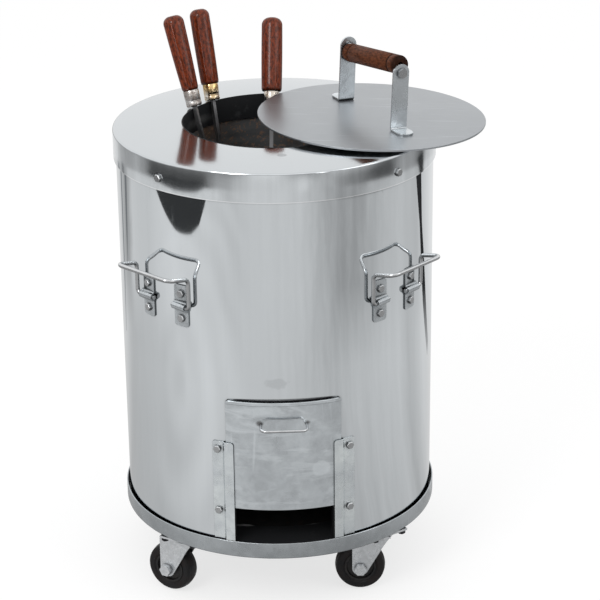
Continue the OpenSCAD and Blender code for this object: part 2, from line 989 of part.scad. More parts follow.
// Turned wooden roller with a groove near each end
module lid_grip() {
    half = lid_strap_gap / 2 - lid_strap_t / 2 - 0.8;
    r = lid_grip_d / 2;
    groove_at = half - grip_groove_in;
    side = [
        [lid_rod_d / 2 + 2 * bolt_clear, half],
        [r - 2, half],
        [r - 0.5, half - 1.5],
        [r, half - 4],
        [r, groove_at + 1.5],
        [r - 1.4, groove_at],
        [r, groove_at - 1.5]
    ];
    color(wood)
        lid_handle_frame()
            translate([0, 0, lid_grip_h])
                rotate([0, 90, 0])
                    rotate_extrude($fn = 96)
                        polygon(concat(
                            side,
                            [for (i = [len(side) - 1:-1:0]) [side[i].x, -side[i].y]]
                        ));
}

module lid_rod() {
    half = lid_strap_gap / 2 + lid_strap_t / 2;
    color(steel)
        lid_handle_frame()
            translate([0, 0, lid_grip_h])
                rotate([0, 90, 0]) {
                    cylinder(d = lid_rod_d, h = 2 * half, center = true, $fn = big);
                    translate([0, 0, half])
                        hex(lid_rod_flats, lid_rod_head);
                    translate([0, 0, -half - lid_rod_head])
                        hex(lid_rod_flats, lid_rod_head);
                }
}

function lean_reach(i) = ferrule_at[i] < 0 ? ferrule_d / 2 : bar_w / 2;
function out_of(az) = [sin(az), -cos(az), 0];
function foot_of(i) = [foot_xy[i].x, foot_xy[i].y, grate_top + 2 * lean_gap];
// How much longer than its width a level cut through a leaning skewer is
function lean_spread(i) =
    let (reach = norm(out_of(lean_az[i]) * collar_r - [foot_xy[i].x, foot_xy[i].y, 0]))
    norm([reach, lip_top - grate_top]) / (lip_top - grate_top);
function lip_of(i) =
    out_of(lean_az[i]) * (collar_r - (lean_reach(i) + lean_gap) * lean_spread(i))
    + [0, 0, lip_top - sheet_t / 2];
function bar_dir(i) = unit(lip_of(i) - foot_of(i));
function bar_below(i) = norm(lip_of(i) - foot_of(i));

// Frame of a skewer: its origin is where it leans on the lip, and +Z runs
// along the bar towards the handle
module skewer_frame(i) {
    stood_on(lip_of(i), bar_dir(i), out_of(lean_az[i]))
        children();
}

module skewer_bar(i) {
    low = -bar_below(i);
    color(steel)
        skewer_frame(i)
            intersection() {
                translate([-bar_w / 2, -bar_w / 2, low])
                    cube([bar_w, bar_w, ferrule_at[i] + ferrule_l + bar_hold - low]);
                for (turn = [0, 90])
                    rotate([90, 0, turn])
                        translate([0, 0, -bar_w])
                            linear_extrude(2 * bar_w)
                                tip_outline(low);
            }
}

// Outline of a bar with its point, seen from its side
module tip_outline(low) {
    high = ferrule_l + wood_l;
    polygon([
        [-0.5, low],
        [0.5, low],
        [bar_w, low + tip_l],
        [bar_w, high],
        [-bar_w, high],
        [-bar_w, low + tip_l]
    ]);
}

// Room for the bar in the ferrule and in the wood
module bar_room(z_a, z_b) {
    translate([-bar_w / 2, -bar_w / 2, z_a])
        cube([bar_w, bar_w, z_b - z_a]);
}

module skewer_ferrule(i) {
    r = ferrule_d / 2;
    wall = 1.2;
    color(steel)
        skewer_frame(i)
            translate([0, 0, ferrule_at[i]])
                difference() {
                    rotate_extrude($fn = 96)
                        polygon([
                            [0, 0],
                            [r - 1.5, 0],
                            [r - 0.4, 1.1],
                            [r, 3],
                            [r, ferrule_l],
                            [r - wall, ferrule_l],
                            [r - wall, 2],
                            [0, 2]
                        ]);
                    bar_room(-1, 5);
                }
}

module skewer_handle(i) {
    tenon_r = ferrule_d / 2 - 1.2;
    low_r = wood_low_d[i] / 2;
    top_r = wood_top_d[i] / 2;
    low = ferrule_l;
    top = low + wood_l;
    round = top_r * 0.72;
    color(wood)
        skewer_frame(i)
            translate([0, 0, ferrule_at[i]])
                difference() {
                    rotate_extrude($fn = 96)
                        polygon(concat(
                            [[0, 2], [tenon_r, 2], [tenon_r, low], [low_r - 1.8, low],
                             [low_r - 0.5, low + 1.4], [low_r, low + 4]],
                            [for (a = [0:10:90]) [
                                top_r - round + round * cos(a),
                                top - round + round * sin(a)
                            ]],
                            [[0, top]]
                        ));
                    bar_room(0, ferrule_l + bar_hold);
                }
}

base_tray();
floor_slab();
drum_shell();
insulation();
clay_pot();
charcoal_grate();
grate_legs();
air_duct();
top_cover();
mouth_collar();
cover_bolts();
guide_left();
guide_right();
guide_bolts();
air_door();
door_pull();
handle_bolts();
caster_bolts();
for (i = [0:3]) {
    handle_brackets(i);
    handle(i);
    caster_plate(i);
    caster_fork(i);
    caster_axle(i);
    wheel_hub(i);
    wheel_tyre(i);
}
lid_plate();
lid_strap_front();
lid_strap_back();
lid_grip();
lid_rod();
for (i = [0:2]) {
    skewer_bar(i);
    skewer_ferrule(i);
    skewer_handle(i);
}
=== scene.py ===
"""Clay tandoor oven: the visual model, built round its CAD frame.

Laid out as a Blender add-on and run as a script. Metres, Z up, the air door
faces -Y. Azimuths count from the door and grow towards +X.
"""

import json
import math

import bmesh
import bpy
from mathutils import Matrix, Vector

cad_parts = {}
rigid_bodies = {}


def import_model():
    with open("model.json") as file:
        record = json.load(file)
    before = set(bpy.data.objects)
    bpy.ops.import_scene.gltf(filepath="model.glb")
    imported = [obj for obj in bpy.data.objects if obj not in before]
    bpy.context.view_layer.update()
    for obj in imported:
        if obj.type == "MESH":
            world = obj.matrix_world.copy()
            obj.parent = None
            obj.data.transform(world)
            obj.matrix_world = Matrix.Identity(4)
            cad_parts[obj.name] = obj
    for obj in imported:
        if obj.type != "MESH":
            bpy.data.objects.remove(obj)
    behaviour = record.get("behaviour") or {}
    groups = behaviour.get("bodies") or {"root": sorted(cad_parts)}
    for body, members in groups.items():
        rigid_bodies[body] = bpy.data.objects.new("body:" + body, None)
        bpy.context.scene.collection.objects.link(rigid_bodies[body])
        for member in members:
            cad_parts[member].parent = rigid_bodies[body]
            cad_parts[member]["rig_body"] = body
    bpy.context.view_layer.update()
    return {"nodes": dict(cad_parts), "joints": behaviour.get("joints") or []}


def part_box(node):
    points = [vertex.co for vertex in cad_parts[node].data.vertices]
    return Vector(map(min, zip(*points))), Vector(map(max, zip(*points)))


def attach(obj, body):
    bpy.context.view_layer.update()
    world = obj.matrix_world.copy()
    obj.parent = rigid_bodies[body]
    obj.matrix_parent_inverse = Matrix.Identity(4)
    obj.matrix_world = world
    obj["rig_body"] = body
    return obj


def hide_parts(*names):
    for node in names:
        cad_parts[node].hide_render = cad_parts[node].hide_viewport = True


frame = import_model()
NODES = frame["nodes"]

bl_info = {
    "name": "Clay Tandoor Oven",
    "version": (1, 0, 0),
    "blender": (4, 5, 0),
    "location": "View3D > Sidebar > Tandoor",
    "description": "Builds a clay tandoor in a polished steel drum round its CAD frame",
    "category": "Object",
}

MM = 0.001
CORNERS = {"front_left": -45.0, "front_right": 45.0, "back_right": 135.0, "back_left": 225.0}
SKEWERS = ("left", "middle", "right")


# Sizes and colours that a user would change


def length(name, text, mm):
    """A length property whose default is given in millimetres."""
    return bpy.props.FloatProperty(
        name=name, description=text, default=mm * MM, min=0.0, subtype="DISTANCE", unit="LENGTH"
    )


def tint(name, text, rgb):
    return bpy.props.FloatVectorProperty(
        name=name, description=text, default=rgb, size=3, min=0.0, max=1.0, subtype="COLOR"
    )


def share(name, text, value):
    return bpy.props.FloatProperty(
        name=name, description=text, default=value, min=0.0, max=1.0, subtype="FACTOR"
    )


def angle(name, text, degrees):
    """An azimuth property, in degrees."""
    return bpy.props.FloatProperty(name=name, description=text, default=degrees)


def amount(name, text, value, least=0.0):
    return bpy.props.FloatProperty(name=name, description=text, default=value, min=least)


def lengths(name, text, *mm):
    """Three lengths whose defaults are given in millimetres."""
    return bpy.props.FloatVectorProperty(
        name=name, description=text, default=tuple(v * MM for v in mm),
        size=3, subtype="XYZ_LENGTH", unit="LENGTH",
    )


class TandoorFinishes(bpy.types.PropertyGroup):
    polished: tint("Polished steel", "Mirror sheet of the drum and its cover", (0.67, 0.70, 0.72))
    dull: tint("Dull steel", "Unpolished sheet of the tray, guides and door", (0.50, 0.53, 0.55))
    lid: tint("Lid steel", "Brushed sheet of the lid and its straps", (0.40, 0.42, 0.44))
    chrome: tint("Rod steel", "Bright rod of the handles and the pull", (0.66, 0.67, 0.68))
    zinc: tint("Zinc", "Zinc plating of the casters", (0.74, 0.76, 0.78))
    fastener: tint("Bolts", "Plated bolts and nuts", (0.62, 0.63, 0.64))
    soot: tint("Soot", "Black deposit in the mouth and the air duct", (0.012, 0.013, 0.015))
    clay: tint("Fired clay", "Clay of the pot", (0.20, 0.125, 0.085))
    wood: tint("Handle wood", "Varnished wood of the skewer handles", (0.128, 0.022, 0.006))
    grip: tint("Grip wood", "Wood of the lid's grip", (0.088, 0.027, 0.011))
    rubber: tint("Rubber", "Rubber of the tyres", (0.006, 0.006, 0.007))
    wear: share("Wear", "How strongly smudges and scratches show", 0.5)


class TandoorSizes(bpy.types.PropertyGroup):
    facets: bpy.props.IntProperty(
        name="Facets", description="Facets round the drum", default=256, min=32, max=512
    )
    sheet: length("Sheet", "Sheet thickness of the drum, cover, door and guides", 1.5)
    tray_sheet: length("Tray sheet", "Thickness of the base tray", 2.0)
    edge: length("Edge", "Rounding of the sheared edges", 0.3)
    rim_round: length("Rim radius", "Radius of the cover's outer corner", 3.0)
    cover_rise: length("Cover rise", "Rise of the cover from its rim to the mouth", 4.1)
    port_width: length("Port width", "Width of the cut-out behind the air door", 144.0)
    port_height: length("Port height", "Height of that cut-out", 127.2)
    door_gap: length("Door gap", "Running gap before and behind the door", 0.8)
    hem: length("Hem", "Height of the fold along the door's top edge", 5.0)
    hem_depth: length("Hem depth", "Depth of that fold, with the sheet", 3.4)
    corner_round: length("Corners", "Radius of the upper corners of the door and guides", 4.0)
    guide_in: angle("Guide edge", "Azimuth of the guides' inner edge in degrees", 17.9)
    guide_step: angle("Guide step", "Azimuth of the guides' step in degrees", 21.6)
    guide_out: angle("Guide flange", "Azimuth of the guides' outer edge in degrees", 26.0)
    pull_wire: length("Pull wire", "Diameter of the pull's wire", 4.0)
    pull_bend: length("Pull bend", "Bend radius of the pull", 8.0)
    rod: length("Rod", "Diameter of the handle rod", 6.0)
    arm_half: length("Arm distance", "Distance of a handle's arm from its middle", 51.5)
    arm_height: length("Arm height", "Height of a handle's arms", 45.0)
    handle_reach: length("Grip reach", "Reach of a handle's grip beyond its arms", 38.0)
    handle_end: length("Rod ends", "Distance of the rod's ends from the handle's middle", 17.7)
    bolt_d: length("Bolt", "Diameter of the bolts", 6.0)
    bolt_flats: length("Flats", "Width of the bolts' heads across their flats", 10.0)
    bolt_head: length("Head", "Height of the bolts' heads", 4.0)
    bolt_nut: length("Nut", "Height of the nuts", 5.0)
    cover_bolt_z: length("Cover bolts", "Height of the bolts in the cover's skirt", 661.06)
    guide_bolt_low: length("Low guide bolts", "Height of the guides' lower bolts", 171.8)
    guide_bolt_top: length("Top guide bolts", "Height of the guides' upper bolts", 269.0)
    guide_bolt_turn: angle("Guide bolt azimuth", "Azimuth of the guides' bolts in degrees", 24.0)
    bracket_gap: length("Brackets", "Distance between the middles of a handle's brackets", 65.0)
    strap: length("Strap", "Thickness of the brackets' straps", 2.0)
    strap_bolts: length("Strap bolts", "Distance between a bracket's two bolts", 37.0)
    lid_width: length("Lid", "Diameter of the lid", 330.0)
    lid_sheet: length("Lid sheet", "Thickness of the lid", 3.0)
    grip_width: length("Grip", "Diameter of the lid's wooden grip", 27.0)
    grip_turn: angle("Grip azimuth", "Azimuth of the grip's axis in degrees", 24.0)
    ferrule_width: length("Ferrule", "Diameter of the skewers' ferrules", 23.0)
    ferrule_length: length("Ferrule length", "Length of the ferrules", 24.0)
    wood_length: length("Handle", "Length of the skewers' wooden handles", 111.0)
    wood_low: lengths("Handle feet", "Diameter of each wooden handle at its foot", 24.5, 27, 30.5)
    wood_top: lengths("Handle tops", "Diameter of each wooden handle at its top", 30.5, 29, 31)
    clay_grain: length("Clay grain", "Size of the facets of the clay pot", 4.5)
    clay_hollows: length("Clay hollows", "Depth of the hollows in the clay", 1.2)


class TandoorStage(bpy.types.PropertyGroup):
    floor: tint("Floor", "Colour of the studio floor", (0.80, 0.80, 0.80))
    sky: amount("Sky", "Strength of the even studio light", 0.85)
    key: amount("Key light", "Power of the large lamp at the upper left", 26.0)
    lens: amount("Lens", "Focal length of the camera in millimetres", 127.33, 1.0)


# Measures taken from the frame


JOINTS = {joint["name"]: joint for joint in frame["joints"]}


def low(node):
    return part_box(node)[0]


def high(node):
    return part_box(node)[1]


def levels(node):
    """The heights of a node's foot and top."""
    return low(node).z, high(node).z


def radius_of(node):
    """Outer radius of a node that is round about the drum's axis."""
    return (high(node).x - low(node).x) / 2


def flat_end(node, along):
    """Middle of the flat end of a turned node, at its far end along a direction."""
    flat_within = 0.05 * MM
    points = {tuple(round(c, 6) for c in v.co) for v in NODES[node].data.vertices}
    furthest = max(Vector(p).dot(along) for p in points)
    rim = [Vector(p) for p in points if Vector(p).dot(along) > furthest - flat_within]
    return sum(rim, Vector()) / len(rim)


def skewer_place(name):
    """Frame at the foot of a skewer's ferrule, whose +Z runs along the skewer."""
    along = Vector(JOINTS[f"skewer_{name}_draw"]["axis"]).normalized()
    return standing(flat_end(f"skewer_ferrule_{name}", -along), along)


def grip_ends():
    """The middles of the lid grip's front and back ends."""
    along = on_drum(1.0, math.radians(bpy.context.scene.tandoor_sizes.grip_turn), 0.0)
    return flat_end("lid_grip", along), flat_end("lid_grip", -along)


def grip_place():
    """Frame in the middle of the lid's grip, whose +Z runs along it."""
    front, back = grip_ends()
    return standing((front + back) / 2, (front - back).normalized())


def standing(origin, along):
    """Matrix that puts +Z along a direction, with its origin at a point."""
    return Matrix.Translation(origin) @ along.to_track_quat("Z", "Y").to_matrix().to_4x4()


def on_drum(radius, azimuth, z):
    """Point at a radius, an azimuth in radians and a height."""
    return Vector((radius * math.sin(azimuth), -radius * math.cos(azimuth), z))


# Shader helpers


class Tree:
    """Adds nodes to a node tree and links them, with as few words as it takes."""

    def __init__(self, tree):
        self.tree = tree

    def feed(self, socket, value):
        """Links a socket or sets it; a colour of three numbers gets its alpha."""
        if isinstance(value, bpy.types.NodeSocket):
            self.tree.links.new(value, socket)
        elif socket.type == "RGBA" and len(value) == 3:
            socket.default_value = (*value, 1.0)
        else:
            socket.default_value = value

    def add(self, kind, inputs=(), **values):
        node = self.tree.nodes.new(kind)
        for key, value in values.items():
            setattr(node, key, value)
        for key, value in dict(inputs).items():
            self.feed(node.inputs[key], value)
        return node

    def out(self, kind, inputs=(), **values):
        """The first output of a new node."""
        return self.add(kind, inputs, **values).outputs[0]

    def math(self, operation, a, b=0.0, c=0.5, clamp=False):
        inputs = {0: a, 1: b, 2: c}
        return self.out("ShaderNodeMath", inputs, operation=operation, use_clamp=clamp)

    def times(self, a, b):
        return self.math("MULTIPLY", a, b)

    def minus(self, a, b):
        return self.math("SUBTRACT", a, b)

    def plus(self, total, *others):
        for value in others:
            total = self.math("ADD", total, value)
        return total

    def place(self):
        return self.add("ShaderNodeTexCoord").outputs["Object"]

    def parts(self, vector):
        return self.add("ShaderNodeSeparateXYZ", {0: vector}).outputs

    def length(self, vector):
        return self.add("ShaderNodeVectorMath", {0: vector}, operation="LENGTH").outputs["Value"]

    def scaled(self, vector, by):
        return self.out("ShaderNodeVectorMath", {0: vector, "Scale": by}, operation="SCALE")

    def ramp(self, fac, *stops):
        """Colour ramp over (position, value or colour) stops."""
        node = self.add("ShaderNodeValToRGB", {"Fac": fac})
        band = node.color_ramp.elements
        while len(band) < len(stops):
            band.new(0.5)
        for element, (at, value) in zip(band, stops):
            element.position = at
            rgb = value if hasattr(value, "__len__") else (value,) * 3
            element.color = (*rgb, 1.0)
        return node.outputs["Color"]

    def mix(self, fac, a, b, blend="MIX"):
        return self.add(
            "ShaderNodeMix", {0: fac, 6: a, 7: b},
            data_type="RGBA", blend_type=blend, clamp_factor=True,
        ).outputs[2]

    def laid(self, colour, mask, weight, over):
        """A colour with another one laid over it through a mask, by a weight."""
        return self.mix(self.times(mask, weight), colour, over)

    def noise(self, vector, scale, detail=3.0, rough=0.5, warp=0.0):
        inputs = {"Scale": scale, "Detail": detail, "Roughness": rough, "Distortion": warp}
        return self.add("ShaderNodeTexNoise", {"Vector": vector, **inputs}).outputs["Fac"]

    def mapping(self, vector, scale=(1, 1, 1), at=(0, 0, 0), turn=(0, 0, 0)):
        inputs = {"Vector": vector, "Scale": scale, "Location": at, "Rotation": turn}
        return self.out("ShaderNodeMapping", inputs)

    def stretched(self, vector, scale, *noise):
        """Noise over a vector that is stretched along its axes."""
        return self.noise(self.mapping(vector, scale), 1.0, *noise)

    def near(self, reach, samples):
        """How open the surroundings of a surface are, from 0 to 1."""
        inputs = {"Distance": reach}
        return self.add("ShaderNodeAmbientOcclusion", inputs, samples=samples).outputs["AO"]

    def glow(self, colour, strength=1.0):
        return self.out("ShaderNodeEmission", {"Color": colour, "Strength": strength})


FLOAT, VECTOR = "NodeSocketFloat", "NodeSocketVector"
GEOMETRY, MATERIAL = "NodeSocketGeometry", "NodeSocketMaterial"
BUILT = {}
MATERIALS = {}


def node_group(name, inputs, outputs, kind="ShaderNodeTree"):
    """A new group as a Tree, and its inputs: each is a float's default or a socket type."""
    group = bpy.data.node_groups.new(name, kind)
    for label, value in inputs.items():
        typed = isinstance(value, str)
        socket = group.interface.new_socket(
            label, in_out="INPUT", socket_type=value if typed else FLOAT
        )
        if not typed:
            socket.default_value = value
    for label, socket_type in outputs.items():
        group.interface.new_socket(label, in_out="OUTPUT", socket_type=socket_type)
    t = Tree(group)
    return t, t.add("NodeGroupInput").outputs


def shader_group(name, outputs, **inputs):
    """A new shader group over a vector, with float inputs and outputs."""
    return node_group(name, {"Vector": VECTOR, **inputs}, dict.fromkeys(outputs, FLOAT))


def once(maker):
    """The node group that a function makes, built when it is first asked for."""
    if maker not in BUILT:
        BUILT[maker] = maker()
    return BUILT[maker]


def smudge_group():
    """Cloudy smudges and fine random scratches of handled sheet metal."""
    t, given = shader_group("sheet_smudges", ("Smudge", "Scratch"), Scale=14.0, Strength=0.5)
    where, strength = given["Vector"], given["Strength"]
    cloud = t.noise(where, given["Scale"], 5.0, 0.55, 0.6)
    cloud = t.ramp(cloud, (0.36, 0.0), (0.66, 1.0))
    small = t.noise(where, t.times(given["Scale"], 4.3), 4.0, 0.6)
    small = t.ramp(small, (0.45, 0.0), (0.75, 1.0))
    both = t.plus(t.times(cloud, 0.7), t.times(small, 0.3))
    scratches = None
    for turn, squeeze in ((0.5, 60.0), (-0.9, 75.0), (2.1, 50.0)):
        along = t.mapping(
            where, scale=(9.0, squeeze * 9.0, 9.0), turn=(turn, turn * 0.7, turn)
        )
        lines = t.ramp(t.noise(along, 1.0, 2.0), (0.70, 0.0), (0.76, 1.0))
        scratches = lines if scratches is None else t.math("MAXIMUM", scratches, lines)
    done = {"Smudge": t.times(both, strength), "Scratch": t.times(scratches, strength)}
    t.add("NodeGroupOutput", done)
    return t.tree


def grain_group():
    """Long fine lines along Z, as rolling or brushing leaves them."""
    t, given = shader_group("rolled_grain", ("Lines", "Bands"), Fineness=900.0, Stretch=0.004)
    parts = t.parts(given["Vector"])
    squeezed = t.out(
        "ShaderNodeCombineXYZ",
        {0: parts[0], 1: parts[1], 2: t.times(parts[2], given["Stretch"])},
    )
    fine = t.noise(squeezed, given["Fineness"], 2.0, 0.6)
    wide = t.noise(squeezed, t.times(given["Fineness"], 0.09), 3.0, 0.6)
    t.add("NodeGroupOutput", {"Lines": fine, "Bands": wide})
    return t.tree


def wood_group():
    """Wood grain along Z: growth rings, pores and dark speckles."""
    t, given = shader_group("wood_grain", ("Rings", "Pores", "Speckle"), Scale=1.0)
    sized = t.scaled(given["Vector"], given["Scale"])
    bent = {
        "Vector": t.mapping(sized, scale=(1, 0.55, 0.10), turn=(0.15, 0.1, 0.4)),
        "Scale": 95.0,
        "Distortion": 5.5,
        "Detail": 3.0,
        "Detail Scale": 1.6,
        "Phase Offset": t.stretched(sized, (60, 60, 12), 3.0),
    }
    rings = t.add("ShaderNodeTexWave", bent, wave_type="BANDS").outputs["Fac"]
    pores = t.stretched(sized, (1600, 1600, 110), 2.0, 0.7)
    speckle = t.noise(sized, 1250.0, 3.0, 0.7)
    done = {
        "Rings": rings,
        "Pores": t.ramp(pores, (0.50, 0.0), (0.70, 1.0)),
        "Speckle": t.ramp(speckle, (0.44, 0.0), (0.62, 1.0)),
    }
    t.add("NodeGroupOutput", done)
    return t.tree


def grime_group():
    """Grime that gathers in patches, more of them where its cover is greater."""
    t, given = shader_group("grime", ("Mask", "Height"), Scale=40.0, Cover=0.5)
    patches = t.noise(given["Vector"], given["Scale"], 6.0, 0.65, 0.3)
    bare = t.times(t.minus(1.0, given["Cover"]), 0.75)
    mask = t.math("MULTIPLY", t.minus(patches, bare), 5.0, clamp=True)
    grain = t.noise(given["Vector"], t.times(given["Scale"], 18.0), 3.0, 0.7)
    t.add("NodeGroupOutput", {"Mask": mask, "Height": t.times(grain, mask)})
    return t.tree


class Finish(Tree):
    """A material with one Principled BSDF, whose patterns sit on Object coordinates."""

    def __init__(
        self, name, rough=0.5, metal=0.0, coat=0.0, coat_rough=0.03, specular=0.5,
        place=None, edge=0.0,
    ):
        self.name = name
        self.material = bpy.data.materials.new(name)
        self.material.use_nodes = True
        super().__init__(self.material.node_tree)
        self.sockets = self.tree.nodes["Principled BSDF"].inputs
        for label, value in (
            ("Roughness", rough), ("Metallic", metal), ("Coat Weight", coat),
            ("Coat Roughness", coat_rough), ("Specular IOR Level", specular),
        ):
            self.sockets[label].default_value = value
        self.coords = self.add("ShaderNodeTexCoord").outputs
        self.where = self.coords["Object"]
        if place:
            at, turn, _ = place.inverted().decompose()
            self.where = self.mapping(self.where, at=at, turn=turn.to_euler())
        self.normal = None
        if edge:
            self.normal = self.out("ShaderNodeBevel", {"Radius": edge}, samples=4)
            self.feed(self.sockets["Normal"], self.normal)

    def group(self, maker, **inputs):
        inputs["Vector"] = self.where
        return self.add("ShaderNodeGroup", inputs, node_tree=once(maker)).outputs

    def use(self, colour, rough=None):
        """Feeds the shader's colour and, where it varies, its roughness."""
        self.feed(self.sockets["Base Color"], colour)
        if rough:
            self.feed(self.sockets["Roughness"], rough)

    def bumped(self, height, distance, strength):
        """Adds the relief and enters the finished material in the table."""
        inputs = {"Height": height, "Distance": distance, "Strength": strength}
        if self.normal:
            inputs["Normal"] = self.normal
        self.feed(self.sockets["Normal"], self.out("ShaderNodeBump", inputs))
        MATERIALS[self.name] = self.material

    def nook(self, colour, reach, dark=0.2):
        """A colour with painted shade where another surface stands near, darkened by ambient
        occlusion.
        """
        open_share = self.ramp(self.near(reach, 6), (0.30, dark), (0.85, 1.0))
        return self.mix(1.0, colour, open_share, "MULTIPLY")

    def shaded(self, colour, under=0.4, level=0.8):
        """A colour with painted shade: darker on faces that look down, a little darker on upright
        ones.
        """
        up = self.math("MULTIPLY_ADD", self.parts(self.coords["Normal"])[2], 0.5)
        underside_shade = self.ramp(up, (0.10, under), (0.45, level), (0.75, 1.05))
        return self.mix(1.0, colour, underside_shade, "MULTIPLY")

    def spot(self, at, size, ragged=0.5, soft=0.35):
        """Mask of an oval mark at a point, with half-widths along X, Y and Z."""
        scale = tuple(1 / w for w in size)
        local = self.mapping(self.where, scale=scale, at=tuple(-a * k for a, k in zip(at, scale)))
        rag = self.times(self.noise(self.where, 1.2 / max(size), 4.0, 0.6), ragged)
        inside = self.minus(1.0 + ragged / 2, self.plus(self.length(local), rag))
        return self.math("DIVIDE", inside, soft, clamp=True)


def tone(rgb, by):
    """A colour made lighter or darker by a factor."""
    return tuple(min(1.0, c * by) for c in rgb)


def grey(level):
    return (level,) * 3


# Finishes


def polished_steel(c):
    """Mirror sheet with rolling lines, a slight unevenness and thumb marks."""
    f = Finish("polished_steel", metal=1.0)
    grain = f.group(grain_group, Fineness=700.0, Stretch=0.004)
    marks = f.group(smudge_group, Scale=9.0, Strength=c.wear)
    bands = f.ramp(grain["Bands"], (0.35, 0.0), (0.65, 1.0))
    colour = f.mix(bands, tone(c.polished, 0.99), tone(c.polished, 1.01))
    colour = f.laid(colour, marks["Smudge"], 0.16, tone(c.polished, 0.86))
    thumb_at = on_drum(230 * MM, math.radians(-1), 376 * MM)
    thumb = f.spot(thumb_at, (20 * MM, 30 * MM, 10 * MM), 2.4, 0.3)
    colour = f.laid(colour, thumb, 0.6, tone(c.polished, 0.82))
    # Painted shadow: a dark line just above the door, standing for the shadow of its hem on the
    # wall, which goes when the door is lowered
    above, half_widths, reach = 1.5 * MM, (79 * MM, 80 * MM, 3.5 * MM), 12 * MM
    door_shadow_at = Vector((0, -radius_of("drum_shell"), high("air_door").z + above))
    line = f.spot(door_shadow_at, half_widths, 0.15, 0.12)
    line = f.times(line, f.ramp(f.near(reach, 8), (0.84, 1.0), (0.97, 0.0)))
    colour = f.mix(line, colour, (0.02, 0.021, 0.023))
    smudged, scratched = f.times(marks["Smudge"], 0.05), f.times(marks["Scratch"], 0.12)
    # Painted shade: darker where another surface stands within 5 mm, as under the skirt and round
    # the brackets and guides
    f.use(f.nook(colour, 0.005, 0.12), f.plus(smudged, 0.02, scratched, f.times(thumb, 0.12)))
    height = f.plus(f.noise(f.where, 5.5, 1.0), f.times(grain["Lines"], 0.006))
    f.bumped(height, 0.0006, 0.5)


def satin_cover(c):
    """The cover: brushed finely along X on its top, and round about on its skirt."""
    f = Finish("satin_cover", metal=1.0)
    height = f.parts(f.where)[2]
    low_z, top_z = levels("top_cover")
    rim_h, hem_highlight_h, per_metre = 5.5 * MM, 1.6 * MM, 1500.0
    top = f.math("MULTIPLY", f.minus(height, top_z - rim_h), per_metre, clamp=True)
    hem = f.math("MULTIPLY", f.minus(low_z + hem_highlight_h, height), per_metre, clamp=True)
    grain = f.group(grain_group, Fineness=500.0, Stretch=0.01)
    marks = f.group(smudge_group, Scale=12.0, Strength=c.wear)
    brushed = f.stretched(f.where, (30, 900, 30), 3.0, 0.6)
    streaks = f.ramp(grain["Bands"], (0.32, 0.90), (0.50, 1.0), (0.64, 1.06))
    colour = f.laid(c.polished, marks["Smudge"], 0.16, tone(c.polished, 0.88))
    colour = f.mix(1.0, colour, f.mix(top, streaks, grey(0.92)), "MULTIPLY")
    # Painted highlight: a pale band along the skirt's lower edge, standing for the light that edge
    # catches
    colour = f.laid(colour, hem, 0.7, (0.92, 0.93, 0.94))
    water = f.spot((5.3 * MM, -162.4 * MM, top_z - 2 * MM), (8 * MM, 7 * MM, 9 * MM), 0.3, 0.3)
    notch = f.spot((-8.9 * MM, -136 * MM, top_z), (8 * MM, 4 * MM, 5 * MM), 0.5, 0.4)
    marked = f.math("MAXIMUM", f.times(water, 0.35), f.times(notch, 0.9))
    colour = f.mix(marked, colour, (0.10, 0.10, 0.11))
    rough = f.plus(f.times(marks["Smudge"], 0.03), 0.085, f.times(brushed, 0.03))
    # Painted shade: darker where another surface stands within 4 mm
    f.use(f.nook(colour, 0.004), rough)
    lines = f.times(f.mix(top, grain["Lines"], brushed), 0.02)
    f.bumped(f.plus(f.noise(f.where, 7.0, 1.0), lines), 0.0008, 0.5)


def door_marks(f, shown, base):
    """Dark spots round the pull's roots, a pale patch low on the right, and pale sweeps."""
    lo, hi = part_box("door_pull")
    for x, size in ((lo.x, 7 * MM), (hi.x, 4.5 * MM)):
        root_spot = f.spot((x, hi.y, hi.z), (size, 20 * MM, size * 0.8), 0.9, 0.6)
        shown = f.laid(shown, root_spot, 0.75, (0.10, 0.095, 0.09))
    patch = f.spot((52 * MM, hi.y, 240 * MM), (14 * MM, 40 * MM, 13 * MM), 0.9, 0.2)
    shown = f.laid(shown, patch, 0.6, tone(base, 1.35))
    sweep = f.mapping(f.where, scale=(16, 16, 60), turn=(0, 0.35, 0))
    sweep = f.ramp(f.noise(sweep, 1.0, 3.0, 0.6, 0.8), (0.52, 0.0), (0.66, 0.5))
    return f.mix(sweep, shown, tone(base, 1.3))


def dull_steel(c, name, by, rough, scale=16.0, edge=0.0, marked=None, reach=0.006):
    """Unpolished sheet: cloudy smudges, scratches and dirty patches."""
    base = tone(c.dull, by)
    f = Finish(name, metal=0.9, edge=edge)
    marks = f.group(smudge_group, Scale=scale, Strength=1.0)
    dirt = f.group(grime_group, Scale=30.0, Cover=0.36)["Mask"]
    grain = f.group(grain_group, Fineness=1400.0, Stretch=0.02)
    shown = f.mix(marks["Smudge"], tone(base, 0.86), tone(base, 1.14))
    shown = f.laid(shown, dirt, 0.35, tone(base, 0.55))
    shown = f.laid(shown, marks["Scratch"], 0.4, tone(base, 1.3))
    if marked:
        shown = marked(f, shown, base)
    dulled = f.plus(f.times(marks["Smudge"], -0.10), rough + 0.05, f.times(dirt, 0.15))
    # Painted shade: duller on faces that look down, and darker where another surface stands near
    f.use(f.nook(f.shaded(shown, 0.3), reach, 0.08), dulled)
    f.bumped(f.plus(f.times(grain["Lines"], 0.25), marks["Scratch"]), 0.00006, 0.6)


